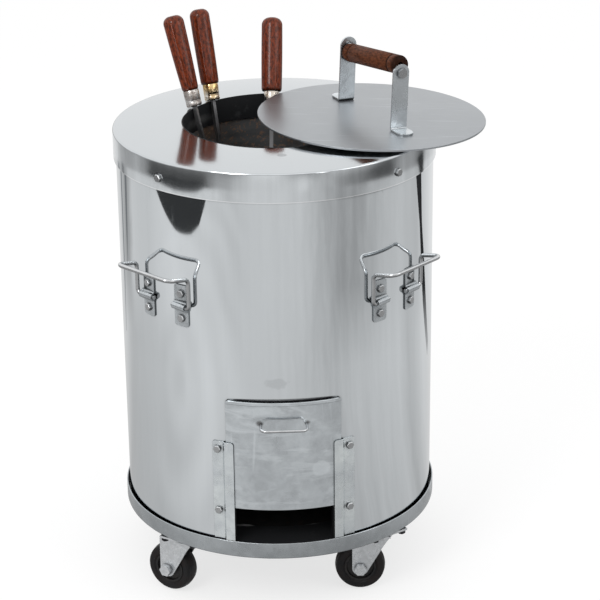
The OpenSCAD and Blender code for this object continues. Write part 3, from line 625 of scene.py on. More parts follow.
def lid_steel(c):
    """Brushed mild steel with a few deep scratches."""
    f = Finish("lid_steel", metal=0.9)
    brushed = f.stretched(f.mapping(f.where, turn=(0, 0, 0.5)), (40, 1100, 40), 3.0, 0.65)
    marks = f.group(smudge_group, Scale=10.0, Strength=1.0)
    shown = f.mix(brushed, tone(c.lid, 0.90), tone(c.lid, 1.10))
    shown = f.laid(shown, marks["Smudge"], 0.30, tone(c.lid, 0.78))
    shown = f.laid(shown, marks["Scratch"], 0.65, tone(c.lid, 1.8))
    f.use(shown, f.plus(f.times(brushed, 0.14), 0.27))
    f.bumped(f.plus(brushed, marks["Scratch"]), 0.00005, 0.7)


def bright_rod(name, base, rough, edge=0.0):
    """Bright drawn rod with faint draw marks and handling wear."""
    f = Finish(name, metal=1.0, edge=edge)
    smudge = f.group(smudge_group, Scale=45.0, Strength=1.0)["Smudge"]
    shown = f.laid(base, smudge, 0.5, tone(base, 0.72))
    # Painted shade: dark on faces that look down, darker on upright faces, and darker where another
    # surface stands near
    shown = f.nook(f.shaded(shown, 0.08, 0.58), 0.006, 0.08)
    f.use(shown, f.plus(f.times(smudge, 0.14), rough))
    f.bumped(f.noise(f.where, 900.0, 2.0), 0.00004, 0.5)


def zinc_plate(c):
    """Zinc plating with a fine spangle, soiled in patches."""
    f = Finish("zinc_plate", metal=0.85, edge=0.5 * MM)
    cells = f.add("ShaderNodeTexVoronoi", {"Vector": f.where, "Scale": 260.0}).outputs["Color"]
    spangle = f.out("ShaderNodeSeparateColor", {0: cells})
    dirt = f.group(grime_group, Scale=70.0, Cover=0.42)["Mask"]
    shown = f.mix(spangle, tone(c.zinc, 0.92), tone(c.zinc, 1.08))
    shown = f.laid(shown, dirt, 0.18, tone(c.zinc, 0.5))
    # Painted shade: duller on faces that look down, and darker where another surface stands near
    shown = f.nook(f.shaded(shown, 0.3), 0.006, 0.15)
    f.use(shown, f.plus(f.times(spangle, 0.08), 0.22, f.times(dirt, 0.2)))
    f.bumped(f.noise(f.where, 500.0, 3.0), 0.0001, 0.5)


def sooted_steel(c, name, bare, pale):
    """Steel under black soot, rubbed bright in patches and at (point, size, level) marks."""
    f = Finish(name, metal=0.35)
    rubbed = f.minus(1.0, f.group(grime_group, Scale=26.0, Cover=0.74)["Mask"])
    shown = f.laid(c.soot, rubbed, 0.55, bare)
    for at, size, level in pale:
        shown = f.laid(shown, f.spot(at, size, 1.2, 0.8), 0.9, grey(level))
    f.use(shown, f.minus(0.72, f.times(rubbed, 0.3)))
    f.bumped(f.noise(f.where, 700.0, 4.0, 0.7), 0.0004, 0.6)


def fired_clay(c, name):
    """Fired clay, smoked grey, with the brown showing in patches."""
    f = Finish(name, rough=0.9, specular=0.2)
    smoke = f.group(grime_group, Scale=11.0, Cover=0.62)["Mask"]
    sand = f.noise(f.where, 900.0, 5.0, 0.7)
    wipes = f.stretched(f.where, (14, 14, 90), 4.0, 0.6)
    brown = f.mix(sand, tone(c.clay, 0.7), tone(c.clay, 1.35))
    shown = f.mix(smoke, brown, f.mix(wipes, (0.09, 0.095, 0.10), grey(0.24)))
    flecks = f.ramp(f.noise(f.where, 170.0, 4.0, 0.65), (0.55, 0.0), (0.62, 1.0))
    shown = f.laid(shown, flecks, 0.8, tone(c.clay, 2.0))
    # Darker towards the bottom
    deep = f.ramp(f.parts(f.where)[2], (0.22, 0.06), (0.42, 1.0))
    f.use(f.mix(1.0, shown, deep, "MULTIPLY"))
    f.bumped(f.plus(f.times(sand, 0.5), f.times(wipes, 0.8)), 0.0012, 0.7)


def mineral_wool():
    """Felted brown fibres that lie level."""
    f = Finish("mineral_wool", rough=1.0, specular=0.1)
    fibres = f.stretched(f.where, (220, 220, 1400), 4.0, 0.7)
    f.use(f.mix(fibres, (0.32, 0.28, 0.20), (0.55, 0.50, 0.38)))
    f.bumped(fibres, 0.002, 0.8)


def dusty(name, base, dust, weight, scale, cover, relief, dulled=False, **values):
    """Plain dark stuff with dust in patches, and a (noise, depth, strength) relief."""
    f = Finish(name, **values)
    mask = f.group(grime_group, Scale=scale, Cover=cover)["Mask"]
    rough = f.plus(f.times(mask, 0.3), 0.42) if dulled else None
    f.use(f.laid(base, mask, weight, dust), rough)
    noise, depth, strength = relief
    f.bumped(f.noise(f.where, *noise), depth, strength)


def varnished_wood(name, base, place, rings=0.15, coat=0.5, scorch=()):
    """Speckled hardwood under a glossy varnish, grained along the piece's axis.

    Scorched at (distance from its middle or foot, half-width) places.
    """
    f = Finish(name, rough=0.55, coat=coat, coat_rough=0.08, specular=0.06, place=place)
    grain = f.group(wood_group, Scale=1.0)
    cloud = f.stretched(f.where, (330, 330, 150), 5.0, 0.65)
    cloud = f.ramp(cloud, (0.42, 0.0), (0.58, 1.0))
    shown = f.mix(cloud, tone(base, 0.16), tone(base, 1.5))
    for kind, weight, by in (("Rings", rings, 1.6), ("Speckle", 0.45, 2.2), ("Pores", 0.6, 0.2)):
        shown = f.laid(shown, grain[kind], weight, tone(base, by))
    away = f.math("ABSOLUTE", f.parts(f.where)[2])
    for at, half in scorch:
        off = f.math("DIVIDE", f.math("ABSOLUTE", f.minus(away, at)), half)
        burnt = f.math("SUBTRACT", 1.0, off, clamp=True)
        shown = f.laid(shown, burnt, 0.9, tone(base, 0.08))
    f.use(shown)
    f.bumped(grain["Pores"], 0.00008, 0.35)


def ferrule_steel(c, name, place, gold, specks):
    """Thin tube, tinted by heat, with rust specks on it."""
    f = Finish(name, metal=1.0, place=place)
    rust = f.group(grime_group, Scale=230.0, Cover=specks)
    heat = f.ramp(f.noise(f.where, 26.0, 2.0), (0.30, 0.0), (0.52, 1.0))
    warm = f.laid(c.chrome, heat, gold, (0.72, 0.50, 0.22))
    shown = f.laid(warm, rust["Mask"], 0.6, (0.12, 0.055, 0.030))
    f.use(shown, f.plus(f.times(rust["Mask"], 0.45), 0.12))
    f.bumped(rust["Height"], 0.0002, 0.6)


# Every CAD node's finish, by the start of its name; the longest start that fits counts
FINISH_OF = {
    "base_tray": "tray_steel", "floor_slab": "refractory", "drum_shell": "polished_steel",
    "insulation": "mineral_wool", "clay_pot": "fired_clay", "charcoal_grate": "cast_iron",
    "grate_legs": "cast_iron", "air_duct": "duct_soot", "top_cover": "satin_cover",
    "mouth_collar": "sooted_steel", "cover_bolts": "bolt_steel", "guide_bolts": "bolt_steel",
    "handle_bolts": "bolt_steel", "caster_bolts": "black_nut", "guide_": "guide_steel",
    "air_door": "door_steel", "door_pull": "bright_rod", "brackets": "bracket_steel",
    "handle_": "bright_rod", "caster_": "zinc_plate", "wheel_hub": "hub_plastic",
    "wheel_tyre": "tyre_rubber", "lid_plate": "lid_steel", "lid_strap": "strap_steel",
    "lid_grip": "grip_wood", "lid_rod": "bolt_steel", "skewer_bar": "bar_iron",
    **{f"skewer_ferrule_{name}": f"ferrule_{name}" for name in SKEWERS},
    **{f"skewer_handle_{name}": f"handle_wood_{name}" for name in SKEWERS},
}


def finish_of(node):
    """The material of a CAD node."""
    key = max((k for k in FINISH_OF if node.startswith(k)), key=len)
    return MATERIALS[FINISH_OF[key]]


class TANDOOR_OT_finishes(bpy.types.Operator):
    """Makes every finish and gives each CAD node its own"""

    bl_idname = "tandoor.finishes"
    bl_label = "Finishes"

    def execute(self, context):
        c = context.scene.tandoor_finishes
        # Where soot is rubbed off the mouth's lip and the duct's floor, as (point, size, level)
        lip_marks = (
            ((0.045, 0.125, 0.672), (0.05, 0.04, 0.012), 0.16),
            ((-0.11, 0.07, 0.668), (0.03, 0.05, 0.009), 0.10),
        )
        duct_marks = (
            ((-0.056, -0.1665, 0.121), (0.018, 0.005, 0.004), 0.4),
            ((0.026, -0.1665, 0.121), (0.028, 0.005, 0.004), 0.4),
        )
        grip_burns = ((0.059, 3 * MM), (0.077, 8 * MM))
        polished_steel(c)
        satin_cover(c)
        dull_steel(c, "tray_steel", 0.96, 0.19)
        dull_steel(c, "guide_steel", 1.66, 0.19, 22.0)
        dull_steel(c, "door_steel", 1.32, 0.125, 20.0, marked=door_marks)
        dull_steel(c, "bracket_steel", 1.12, 0.20, 40.0, 0.4 * MM, reach=0.012)
        dull_steel(c, "strap_steel", 1.36, 0.24, 26.0, 0.5 * MM)
        lid_steel(c)
        bright_rod("bright_rod", c.chrome, 0.13)
        bright_rod("bolt_steel", c.fastener, 0.24)
        bright_rod("black_nut", (0.05, 0.05, 0.055), 0.45, 0.3 * MM)
        bright_rod("bar_iron", (0.42, 0.42, 0.43), 0.34)
        zinc_plate(c)
        sooted_steel(c, "sooted_steel", (0.16, 0.165, 0.17), lip_marks)
        sooted_steel(c, "duct_soot", (0.07, 0.072, 0.075), duct_marks)
        fired_clay(c, "fired_clay")
        fired_clay(c, "refractory")
        mineral_wool()
        dusty(
            "cast_iron", (0.022, 0.021, 0.020), (0.15, 0.14, 0.13), 0.6, 45.0, 0.40,
            ((900.0, 5.0, 0.7), 0.0006, 0.7), rough=0.8, metal=0.3,
        )
        dusty(
            "hub_plastic", (0.007, 0.007, 0.008), (0.045, 0.036, 0.030), 0.3, 90.0, 0.45,
            ((1500.0, 2.0), 0.00008, 0.5), rough=0.5, specular=0.3,
        )
        dusty(
            "tyre_rubber", c.rubber, (0.075, 0.045, 0.032), 0.12, 60.0, 0.46,
            ((1300.0, 3.0), 0.00015, 0.6), dulled=True, rough=0.55, specular=0.22,
        )
        varnished_wood("grip_wood", c.grip, grip_place(), 0.4, 0.05, grip_burns)
        at_ferrule = ((context.scene.tandoor_sizes.ferrule_length, 5 * MM),)
        for name, gold, specks in zip(SKEWERS, (0.15, 1.0, 0.3), (0.54, 0.36, 0.34)):
            place = skewer_place(name)
            ferrule_steel(c, f"ferrule_{name}", place, gold, specks)
            varnished_wood(f"handle_wood_{name}", c.wood, place, scorch=at_ferrule)
        for name, obj in NODES.items():
            obj.data.materials.clear()
            obj.data.materials.append(finish_of(name))
        return {"FINISHED"}


# Mesh helpers


# Degrees above which an edge stays crisp: on sheet, on rolled lips and on round pieces
CREASE, LIP, ROUND = 32.0, 50.0, 60.0
BROKEN = 50.0  # Degrees above which an edge is broken by a bevel
TURNED = 96  # Segments round a small turned piece
MERGED = 1e-6  # Metres within which points of a skin are one


def rounded(corners, steps=6):
    """Outline through (x, y, radius) corners, each one rounded by an arc."""
    points = []
    for i, (x, y, radius) in enumerate(corners):
        here = Vector((x, y))
        if radius <= 0:
            points.append(here)
            continue
        back = (Vector(corners[i - 1][:2]) - here).normalized()
        ahead = (Vector(corners[(i + 1) % len(corners)][:2]) - here).normalized()
        half = back.angle(ahead) / 2
        centre = here + (back + ahead).normalized() * radius / math.sin(half)
        start = here + back * radius / math.tan(half) - centre
        end = here + ahead * radius / math.tan(half) - centre
        sweep = math.atan2(start.cross(end), start.dot(end))
        points += [centre + Matrix.Rotation(sweep * s / steps, 2) @ start for s in range(steps + 1)]
    return points


def mesh_of(bm, name):
    """The mesh of a bmesh, which is then freed."""
    mesh = bpy.data.meshes.new(name)
    bm.to_mesh(mesh)
    bm.free()
    return mesh


def plain_mesh(name, verts, edges=(), faces=()):
    mesh = bpy.data.meshes.new(name)
    mesh.from_pydata(verts, edges, faces)
    return mesh


def lofted(name, sections, loop=False, sharp=CREASE):
    """Skin over sections of equally many points, whose open ends are capped."""
    bm = bmesh.new()
    rings = [[bm.verts.new(p) for p in section] for section in sections]
    pairs = list(zip(rings, rings[1:]))
    if loop:
        pairs.append((rings[-1], rings[0]))
    else:
        bm.faces.new(rings[0])
        bm.faces.new(reversed(rings[-1]))
    for a, b in pairs:
        for i in range(len(a)):
            j = (i + 1) % len(a)
            bm.faces.new((a[i], a[j], b[j], b[i]))
    bmesh.ops.remove_doubles(bm, verts=bm.verts, dist=MERGED)
    bmesh.ops.recalc_face_normals(bm, faces=bm.faces)
    mesh = mesh_of(bm, name)
    shade(mesh, sharp)
    return mesh


def shade(mesh, sharp):
    """Smooth shading, with edges sharper than an angle in degrees kept crisp."""
    mesh.polygons.foreach_set("use_smooth", [True] * len(mesh.polygons))
    mesh.set_sharp_from_angle(angle=math.radians(sharp))


def placed(name, data):
    """A new object in the scene."""
    obj = bpy.data.objects.new(name, data)
    bpy.context.scene.collection.objects.link(obj)
    return obj


def evaluated(obj):
    """What an object's modifiers make of it, as a plain mesh."""
    depsgraph = bpy.context.evaluated_depsgraph_get()
    return bpy.data.meshes.new_from_object(obj.evaluated_get(depsgraph))


def turned(name, outline, material, node, segments=TURNED, place=Matrix(), sharp=CREASE):
    """A piece made by turning a closed (radius, height) outline about the Z of its place."""
    turns = [2 * math.pi * k / segments for k in range(segments)]
    sections = [
        [place @ Vector((x * math.cos(a), x * math.sin(a), z)) for x, z in outline] for a in turns
    ]
    piece(name, lofted(name, sections, loop=True, sharp=sharp), material, node)


def worked(mesh, kind, **values):
    """The mesh with a modifier worked into it."""
    obj = placed(mesh.name, mesh)
    modifier = obj.modifiers.new(kind, kind)
    for key, value in values.items():
        setattr(modifier, key, value)
    done = evaluated(obj)
    bpy.data.objects.remove(obj)
    return done


def corner_heights(z0, z1, rise):
    """Heights from the foot of a sheet to its top, closer where its upper corners are round."""
    return [z0] + [
        z1 - rise + rise * math.sin(math.radians(a)) for a in (0, 20, 40, 60, 78, 90)
    ]


def corner_cut(z, z1, rise):
    """How far the round upper corners of a sheet cut in at a height."""
    over = max(0.0, z - (z1 - rise))
    return rise - math.sqrt(max(0.0, rise**2 - over**2))


def broken_edges(mesh, width):
    """The mesh with its sharp edges rounded by a width, whose broad faces still mirror evenly."""
    done = worked(
        mesh, "BEVEL", width=width, segments=2, limit_method="ANGLE", use_clamp_overlap=True,
        angle_limit=math.radians(BROKEN),
    )
    shade(done, CREASE)
    return worked(done, "WEIGHTED_NORMAL", weight=100, keep_sharp=True)


def piece(name, mesh, material, *nodes):
    """Links a piece that stands for CAD nodes, and rides and is slotted as the first one is."""
    mesh.name = name
    mesh.materials.clear()
    mesh.materials.append(MATERIALS[material])
    obj = placed(name, mesh)
    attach(obj, NODES[nodes[0]]["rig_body"])
    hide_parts(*nodes)
    return obj


# Geometry Nodes trees


def grown(name, mesh, maker, material, **inputs):
    """What a Geometry Nodes tree makes of a mesh, as a plain mesh."""
    tree = once(maker)
    obj = placed(name, mesh)
    modifier = obj.modifiers.new(name, "NODES")
    modifier.node_group = tree
    sockets = {s.name: s.identifier for s in tree.interface.items_tree if s.in_out == "INPUT"}
    for key, value in inputs.items():
        modifier[sockets[key]] = value
    modifier[sockets["Material"]] = MATERIALS[material]
    made = evaluated(obj)
    obj.modifiers.remove(modifier)
    bpy.data.objects.remove(obj)
    return made


def geometry_tree(name, **inputs):
    """A new tree from mesh to mesh, with float inputs and a material."""
    inputs = {"Geometry": GEOMETRY, **inputs, "Material": MATERIAL}
    return node_group(name, inputs, {"Geometry": GEOMETRY}, "GeometryNodeTree")


def finished_tree(t, geometry, given):
    """Ends a tree: real geometry, with the material that was handed in."""
    real = t.out("GeometryNodeRealizeInstances", {"Geometry": geometry})
    dressed = t.out("GeometryNodeSetMaterial", {"Geometry": real, "Material": given["Material"]})
    t.add("NodeGroupOutput", {"Geometry": dressed})
    return t.tree


def bent_wire_tree():
    """Round wire along the edges of a mesh, bent at each point by its "bend"."""
    t, given = geometry_tree("bent_wire", Radius=0.003)
    line = t.out("GeometryNodeMeshToCurve", {"Mesh": given["Geometry"]})
    bend = t.out("GeometryNodeInputNamedAttribute", {"Name": "bend"}, data_type="FLOAT")
    bend_points, sides = 9, 24
    bent = {"Curve": line, "Count": bend_points, "Radius": bend, "Limit Radius": True}
    line = t.out("GeometryNodeFilletCurve", bent, mode="POLY")
    circle = {"Resolution": sides, "Radius": given["Radius"]}
    section = t.out("GeometryNodeCurvePrimitiveCircle", circle)
    skin = {"Curve": line, "Profile Curve": section, "Fill Caps": True}
    return finished_tree(t, t.out("GeometryNodeCurveToMesh", skin), given)


def bolt_tree():
    """Hex bolt with a chamfered head, its shank and its nut, at each point."""
    t, given = geometry_tree(
        "hex_bolts", Flats=0.010, Head=0.004, Nut=0.005, Shank=0.003, Grip=0.004
    )
    corner = t.times(given["Flats"], 1 / math.sqrt(3))

    def prism(vertices, radius, height, middle):
        body = {"Vertices": vertices, "Radius": radius, "Depth": height}
        body = t.out("GeometryNodeMeshCylinder", body)
        lift = t.out("ShaderNodeCombineXYZ", {2: middle})
        return t.out("GeometryNodeTransform", {"Geometry": body, "Translation": lift})

    chamfer_share, chamfer_scale, shank_sides = 0.18, 0.86, 20
    chamfer = t.times(given["Head"], chamfer_share)
    straight = t.minus(given["Head"], chamfer)
    head = prism(6, corner, straight, t.times(straight, 0.5))
    upward = t.parts(t.out("GeometryNodeInputNormal"))[2]
    raised = {
        "Mesh": head, "Selection": t.math("GREATER_THAN", upward, 0.9), "Offset Scale": chamfer
    }
    raised = t.add("GeometryNodeExtrudeMesh", raised, mode="FACES").outputs
    head = {"Geometry": raised["Mesh"], "Selection": raised["Top"], "Scale": chamfer_scale}
    head = t.out("GeometryNodeScaleElements", head, domain="FACE")
    end = t.plus(given["Grip"], given["Nut"], given["Shank"])
    shank = prism(shank_sides, given["Shank"], end, t.times(end, -0.5))
    under = t.plus(given["Grip"], t.times(given["Nut"], 0.5))
    nut = prism(6, corner, given["Nut"], t.times(under, -1.0))
    bolt = t.add("GeometryNodeJoinGeometry")
    for part in (head, shank, nut):
        t.feed(bolt.inputs[0], part)
    turn = t.out("GeometryNodeInputNamedAttribute", {"Name": "turn"}, data_type="FLOAT_VECTOR")
    seats = {"Points": given["Geometry"], "Instance": bolt.outputs[0], "Rotation": turn}
    return finished_tree(t, t.out("GeometryNodeInstanceOnPoints", seats), given)


def clay_tree():
    """Hand-worked clay: shallow hollows and a grainy skin, from seeded noise."""
    t, given = geometry_tree("worked_clay", Depth=0.001, Scale=22.0, Seed=3.0)
    dents = {"Scale": given["Scale"], "Detail": 4.0, "W": given["Seed"]}
    dents = t.add("ShaderNodeTexNoise", dents, noise_dimensions="4D").outputs["Fac"]
    # The hollows only go into the wall, never out of it
    depth = t.times(dents, t.times(given["Depth"], -1.0))
    push = t.scaled(t.out("GeometryNodeInputNormal"), depth)
    moved = {"Geometry": given["Geometry"], "Offset": push}
    return finished_tree(t, t.out("GeometryNodeSetPosition", moved), given)


def wire(name, points, bends, radius, material):
    """Bent round wire through points, as a mesh."""
    mesh = plain_mesh(name, points, [(i, i + 1) for i in range(len(points) - 1)])
    mesh.attributes.new("bend", "FLOAT", "POINT").data.foreach_set("value", bends)
    made = grown(name, mesh, bent_wire_tree, material, Radius=radius)
    shade(made, ROUND)
    return made


def bolts(name, seats, grip, material):
    """Hex bolts whose heads sit at (point, outward direction) seats, as a mesh."""
    s = bpy.context.scene.tandoor_sizes
    mesh = plain_mesh(name, [point for point, _ in seats])
    turns = [c for _, out in seats for c in out.to_track_quat("Z", "Y").to_euler()]
    mesh.attributes.new("turn", "FLOAT_VECTOR", "POINT").data.foreach_set("vector", turns)
    return grown(
        name, mesh, bolt_tree, material,
        Flats=s.bolt_flats, Head=s.bolt_head, Nut=s.bolt_nut, Shank=s.bolt_d / 2, Grip=grip,
    )


# The drum


class TANDOOR_OT_drum(bpy.types.Operator):
    """Makes the drum's wall, its cover, the steel collar and the base tray"""

    bl_idname = "tandoor.drum"
    bl_label = "Drum"

    def execute(self, context):
        s = context.scene.tandoor_sizes
        self.wall(s)
        self.cover(s)
        self.collar(s)
        self.tray(s)
        return {"FINISHED"}

    def wall(self, s):
        """Rolled sheet with the square port of the air duct cut out of it."""
        r = radius_of("drum_shell")
        port_half = math.asin(s.port_width / 2 / r)
        rest = 2 * math.pi - 2 * port_half
        port_low = high("floor_slab").z
        port_top = port_low + s.port_height
        steps = round(rest / (2 * math.pi) * s.facets)
        port_steps = 24
        turns = [-port_half + 2 * port_half * k / port_steps for k in range(port_steps)]
        turns += [port_half + rest * k / steps for k in range(steps)]
        foot, rim = levels("drum_shell")
        heights = [foot, port_low, port_top, rim]
        bm = bmesh.new()
        rows = [[bm.verts.new(on_drum(r, a, z)) for a in turns] for z in heights]
        for i, (below, above) in enumerate(zip(rows, rows[1:])):
            for k in range(len(turns)):
                if i == 1 and k < port_steps:
                    continue
                j = (k + 1) % len(turns)
                bm.faces.new((below[k], below[j], above[j], above[k]))
        mesh = worked(mesh_of(bm, "drum_wall"), "SOLIDIFY", thickness=s.sheet, offset=-1.0)
        shade(mesh, CREASE)
        piece("drum_wall", mesh, "polished_steel", "drum_shell")

    def cover(self, s):
        """Spun cover: a shallow cone with a rounded rim and a straight skirt."""
        mouth = radius_of("mouth_collar")
        skirt_low, top = levels("top_cover")
        rim, fall = radius_of("top_cover"), s.cover_rise
        outline = rounded([
            (mouth, top, 0.5 * MM),
            (rim, top - fall, s.rim_round),
            (rim, skirt_low, 0.3 * MM),
            (rim - s.sheet, skirt_low, 0.3 * MM),
            (rim - s.sheet, top - fall - s.sheet, s.rim_round - s.sheet),
            (mouth, top - s.sheet, 0),
        ], 8)
        turned("cover", outline, "satin_cover", "top_cover", s.facets)

    def collar(self, s):
        """Collar in the mouth, with a rolled lip."""
        r, t = radius_of("mouth_collar"), s.sheet
        foot, lip = levels("mouth_collar")
        outline = rounded([
            (r - t, foot, 0.2 * MM), (r, foot, 0.2 * MM),
            (r, lip, 0.49 * t), (r - t, lip, 0.49 * t),
        ])
        turned("collar", outline, "sooted_steel", "mouth_collar", s.facets, sharp=LIP)

    def tray(self, s):
        """Base tray with a rounded foot and an upstanding rim."""
        r, t = radius_of("base_tray"), s.tray_sheet
        floor, top = levels("base_tray")
        outline = rounded([
            (0, floor, 0), (r, floor, 2.5 * MM), (r, top, 0.45 * t),
            (r - t, top, 0.45 * t), (r - t, floor + t, 0.5 * MM), (0, floor + t, 0),
        ])
        turned("tray", outline, "tray_steel", "base_tray", s.facets, sharp=40.0)


# The air door


class TANDOOR_OT_door(bpy.types.Operator):
    """Makes the air door with its folded hem, its pull and the two guides"""

    bl_idname = "tandoor.door"
    bl_label = "Air door"

    def execute(self, context):
        s = context.scene.tandoor_sizes
        self.door(s)
        for side in (-1, 1):
            self.guide(s, side)
        self.pull(s)
        return {"FINISHED"}

    def door(self, s):
        """Curved sheet whose top edge is folded forward into a hem."""
        r = radius_of("drum_shell") + s.door_gap
        half = math.asin(min(1.0, high("air_door").x / (r + s.sheet)))
        z0, z1 = levels("air_door")
        t, fold = s.sheet, s.hem_depth
        rise = s.corner_round
        climbs = corner_heights(z0, z1, rise)
        fold_low = z1 - s.hem
        front = [(t, z0), (t, fold_low), (fold - 0.4 * MM, fold_low), (fold, fold_low + 0.5 * MM)]
        front += [(fold, z) for z in climbs[1:-2]]
        front += [(fold - 0.5 * MM, climbs[-2]), (fold - 1.2 * MM, z1)]
        back = [(0.0, z) for z in reversed(climbs)]
        outline = front + [(0.6 * MM, z1)] + back

        spread = [half - corner_cut(z, z1, rise) / r for _, z in outline]
        columns = 48
        sections = []
        for k in range(columns + 1):
            u = 2 * k / columns - 1
            sections.append([on_drum(r + d, u * w, z) for (d, z), w in zip(outline, spread)])
        mesh = broken_edges(lofted("air_door", sections), s.edge)
        piece("door", mesh, "door_steel", "air_door")

    def guide(self, s, side):
        """Guide: a bolted flange, a soft step and a raised lip over the door."""
        node = "guide_right" if side > 0 else "guide_left"
        z0, z1 = levels(node)
        r, t = radius_of("drum_shell"), s.sheet
        lift = s.door_gap * 2 + s.sheet
        inner, step, outer = (math.radians(a) for a in (s.guide_in, s.guide_step, s.guide_out))
        soft = 1.6 * MM / r
        ease_h, ease_a = 0.25 * lift, 0.35 * soft
        over = [
            (lift, inner), (lift, step - soft), (lift - ease_h, step - ease_a),
            (ease_h, step + ease_a), (0.0, step + soft), (0.0, outer),
        ]

        def section(z):
            cut = corner_cut(z, z1, s.corner_round) / r
            line = [(h, min(max(a, inner + cut), outer - cut)) for h, a in over]
            outside = [on_drum(r + h + t, side * a, z) for h, a in line]
            inside = [on_drum(r + h, side * a, z) for h, a in reversed(line)]
            return outside + inside

        mesh = lofted(node, [section(z) for z in corner_heights(z0, z1, s.corner_round)])
        mesh = broken_edges(mesh, s.edge)
        piece(node.replace("guide", "door_guide"), mesh, "guide_steel", node)

    def pull(self, s):
        """Bent wire pull, butted against the door."""
        lo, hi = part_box("door_pull")
        wire_r = s.pull_wire / 2
        z = (lo.z + hi.z) / 2
        half = hi.x - wire_r
        front = lo.y + wire_r
        sunk = 0.4 * MM
        face = radius_of("drum_shell") + s.door_gap + s.sheet
        root = -math.sqrt(face**2 - half**2) + sunk
        points = [(-half, root, z), (-half, front, z), (half, front, z), (half, root, z)]
        mesh = wire("pull", points, [0, s.pull_bend, s.pull_bend, 0], wire_r, "bright_rod")
        piece("pull", mesh, "bright_rod", "door_pull")


# Handles and bolts


class TANDOOR_OT_handles(bpy.types.Operator):
    """Bends the four carrying handles"""

    bl_idname = "tandoor.handles"
    bl_label = "Carrying handles"

    def execute(self, context):
        s = context.scene.tandoor_sizes
        rod = s.rod / 2
        bends = [b * MM for b in (0, 6, 9, 12, 12, 9, 6, 0)]
        for corner, azimuth in CORNERS.items():
            pivot = Vector(JOINTS[f"handle_{corner}_fold"]["pos_m"])
            out = on_drum(1.0, math.radians(azimuth), 0.0)
            along = Vector((-out.y, out.x, 0.0))
            top = high(f"handle_{corner}").z - rod
            shape = [
                (s.handle_end, 0.0, 0.0), (s.arm_half, 0.0, 0.0), (s.arm_half, 0.0, s.arm_height),
                (s.arm_half, s.handle_reach, top - pivot.z),
            ]
            right = [pivot + along * w + out * d + Vector((0, 0, h)) for w, d, h in shape]
            left = [pivot - along * w + out * d + Vector((0, 0, h)) for w, d, h in shape]
            mesh = wire(f"rod_{corner}", left + right[::-1], bends, rod, "bright_rod")
            piece(f"rod_{corner}", mesh, "bright_rod", f"handle_{corner}")
        return {"FINISHED"}


class TANDOOR_OT_bolts(bpy.types.Operator):
    """Sets the hex bolts of the cover, the guides and the handle brackets"""

    bl_idname = "tandoor.bolts"
    bl_label = "Bolts"

    def execute(self, context):
        s = context.scene.tandoor_sizes
        wall = radius_of("drum_shell")
        cover = [(math.radians(a), s.cover_bolt_z) for a in CORNERS.values()]
        self.ring("cover_bolts", cover, radius_of("top_cover"))
        guide = [
            (side * math.radians(s.guide_bolt_turn), z)
            for side in (-1, 1)
            for z in (s.guide_bolt_low, s.guide_bolt_top)
        ]
        self.ring("guide_bolts", guide, wall + s.sheet)
        half = math.asin(s.bracket_gap / 2 / wall)
        pivot_z = JOINTS["handle_front_left_fold"]["pos_m"][2]
        bracket = [
            (math.radians(a) + side * half, pivot_z + up * s.strap_bolts / 2)
            for a in CORNERS.values()
            for side in (-1, 1)
            for up in (-1, 1)
        ]
        self.ring("handle_bolts", bracket, wall + s.strap)
        return {"FINISHED"}

    def ring(self, node, places, seat):
        """Bolts at (azimuth, height) places, whose heads sit at a radius."""
        s = bpy.context.scene.tandoor_sizes
        seats = [(on_drum(seat, a, z), on_drum(1.0, a, 0.0)) for a, z in places]
        nut_gap, broken = 0.15 * MM, 0.25 * MM
        grip = seat - (radius_of("drum_shell") - s.sheet - nut_gap)
        name = node.replace("bolts", "hex_bolts")
        mesh = bolts(name, seats, grip, "bolt_steel")
        piece(name, broken_edges(mesh, broken), "bolt_steel", node)


# The lid, the skewers and the pot


class TANDOOR_OT_lid(bpy.types.Operator):
    """Makes the lid's disc and the turned wooden grip on it"""

    bl_idname = "tandoor.lid"
    bl_label = "Lid"

    def execute(self, context):
        s = context.scene.tandoor_sizes
        lo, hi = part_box("lid_plate")
        tilt = math.asin((hi.z - lo.z - s.lid_sheet) / s.lid_width)
        place = Matrix.Translation((lo + hi) / 2) @ Matrix.Rotation(tilt, 4, "Y")
        half, r = s.lid_sheet / 2, s.lid_width / 2
        outline = rounded([(0, -half, 0), (r, -half, 0.5 * MM), (r, half, 0.7 * MM), (0, half, 0)])
        turned("lid_disc", outline, "lid_steel", "lid_plate", s.facets, place)
        self.grip(s)
        return {"FINISHED"}

    def grip(self, s):
        """Roller with rounded ends and a groove near each of them."""
        front, back = grip_ends()
        half = (front - back).length / 2
        r = s.grip_width / 2
        bore, groove_in = 4.2 * MM, 18 * MM
        groove = half - groove_in
        side = [(bore, half)]
        for cut, z in ((2.4, 0), (0.7, -0.9), (0, -3.2)):
            side.append((r - cut * MM, half + z * MM))
        for cut, z in ((0, 2.2), (0.5, 1.2), (1.4, 0.4), (1.4, -0.4), (0.5, -1.2), (0, -2.2)):
            side.append((r - cut * MM, groove + z * MM))
        outline = side + [(x, -z) for x, z in reversed(side)]
        turned("grip", outline, "grip_wood", "lid_grip", place=grip_place(), sharp=LIP)


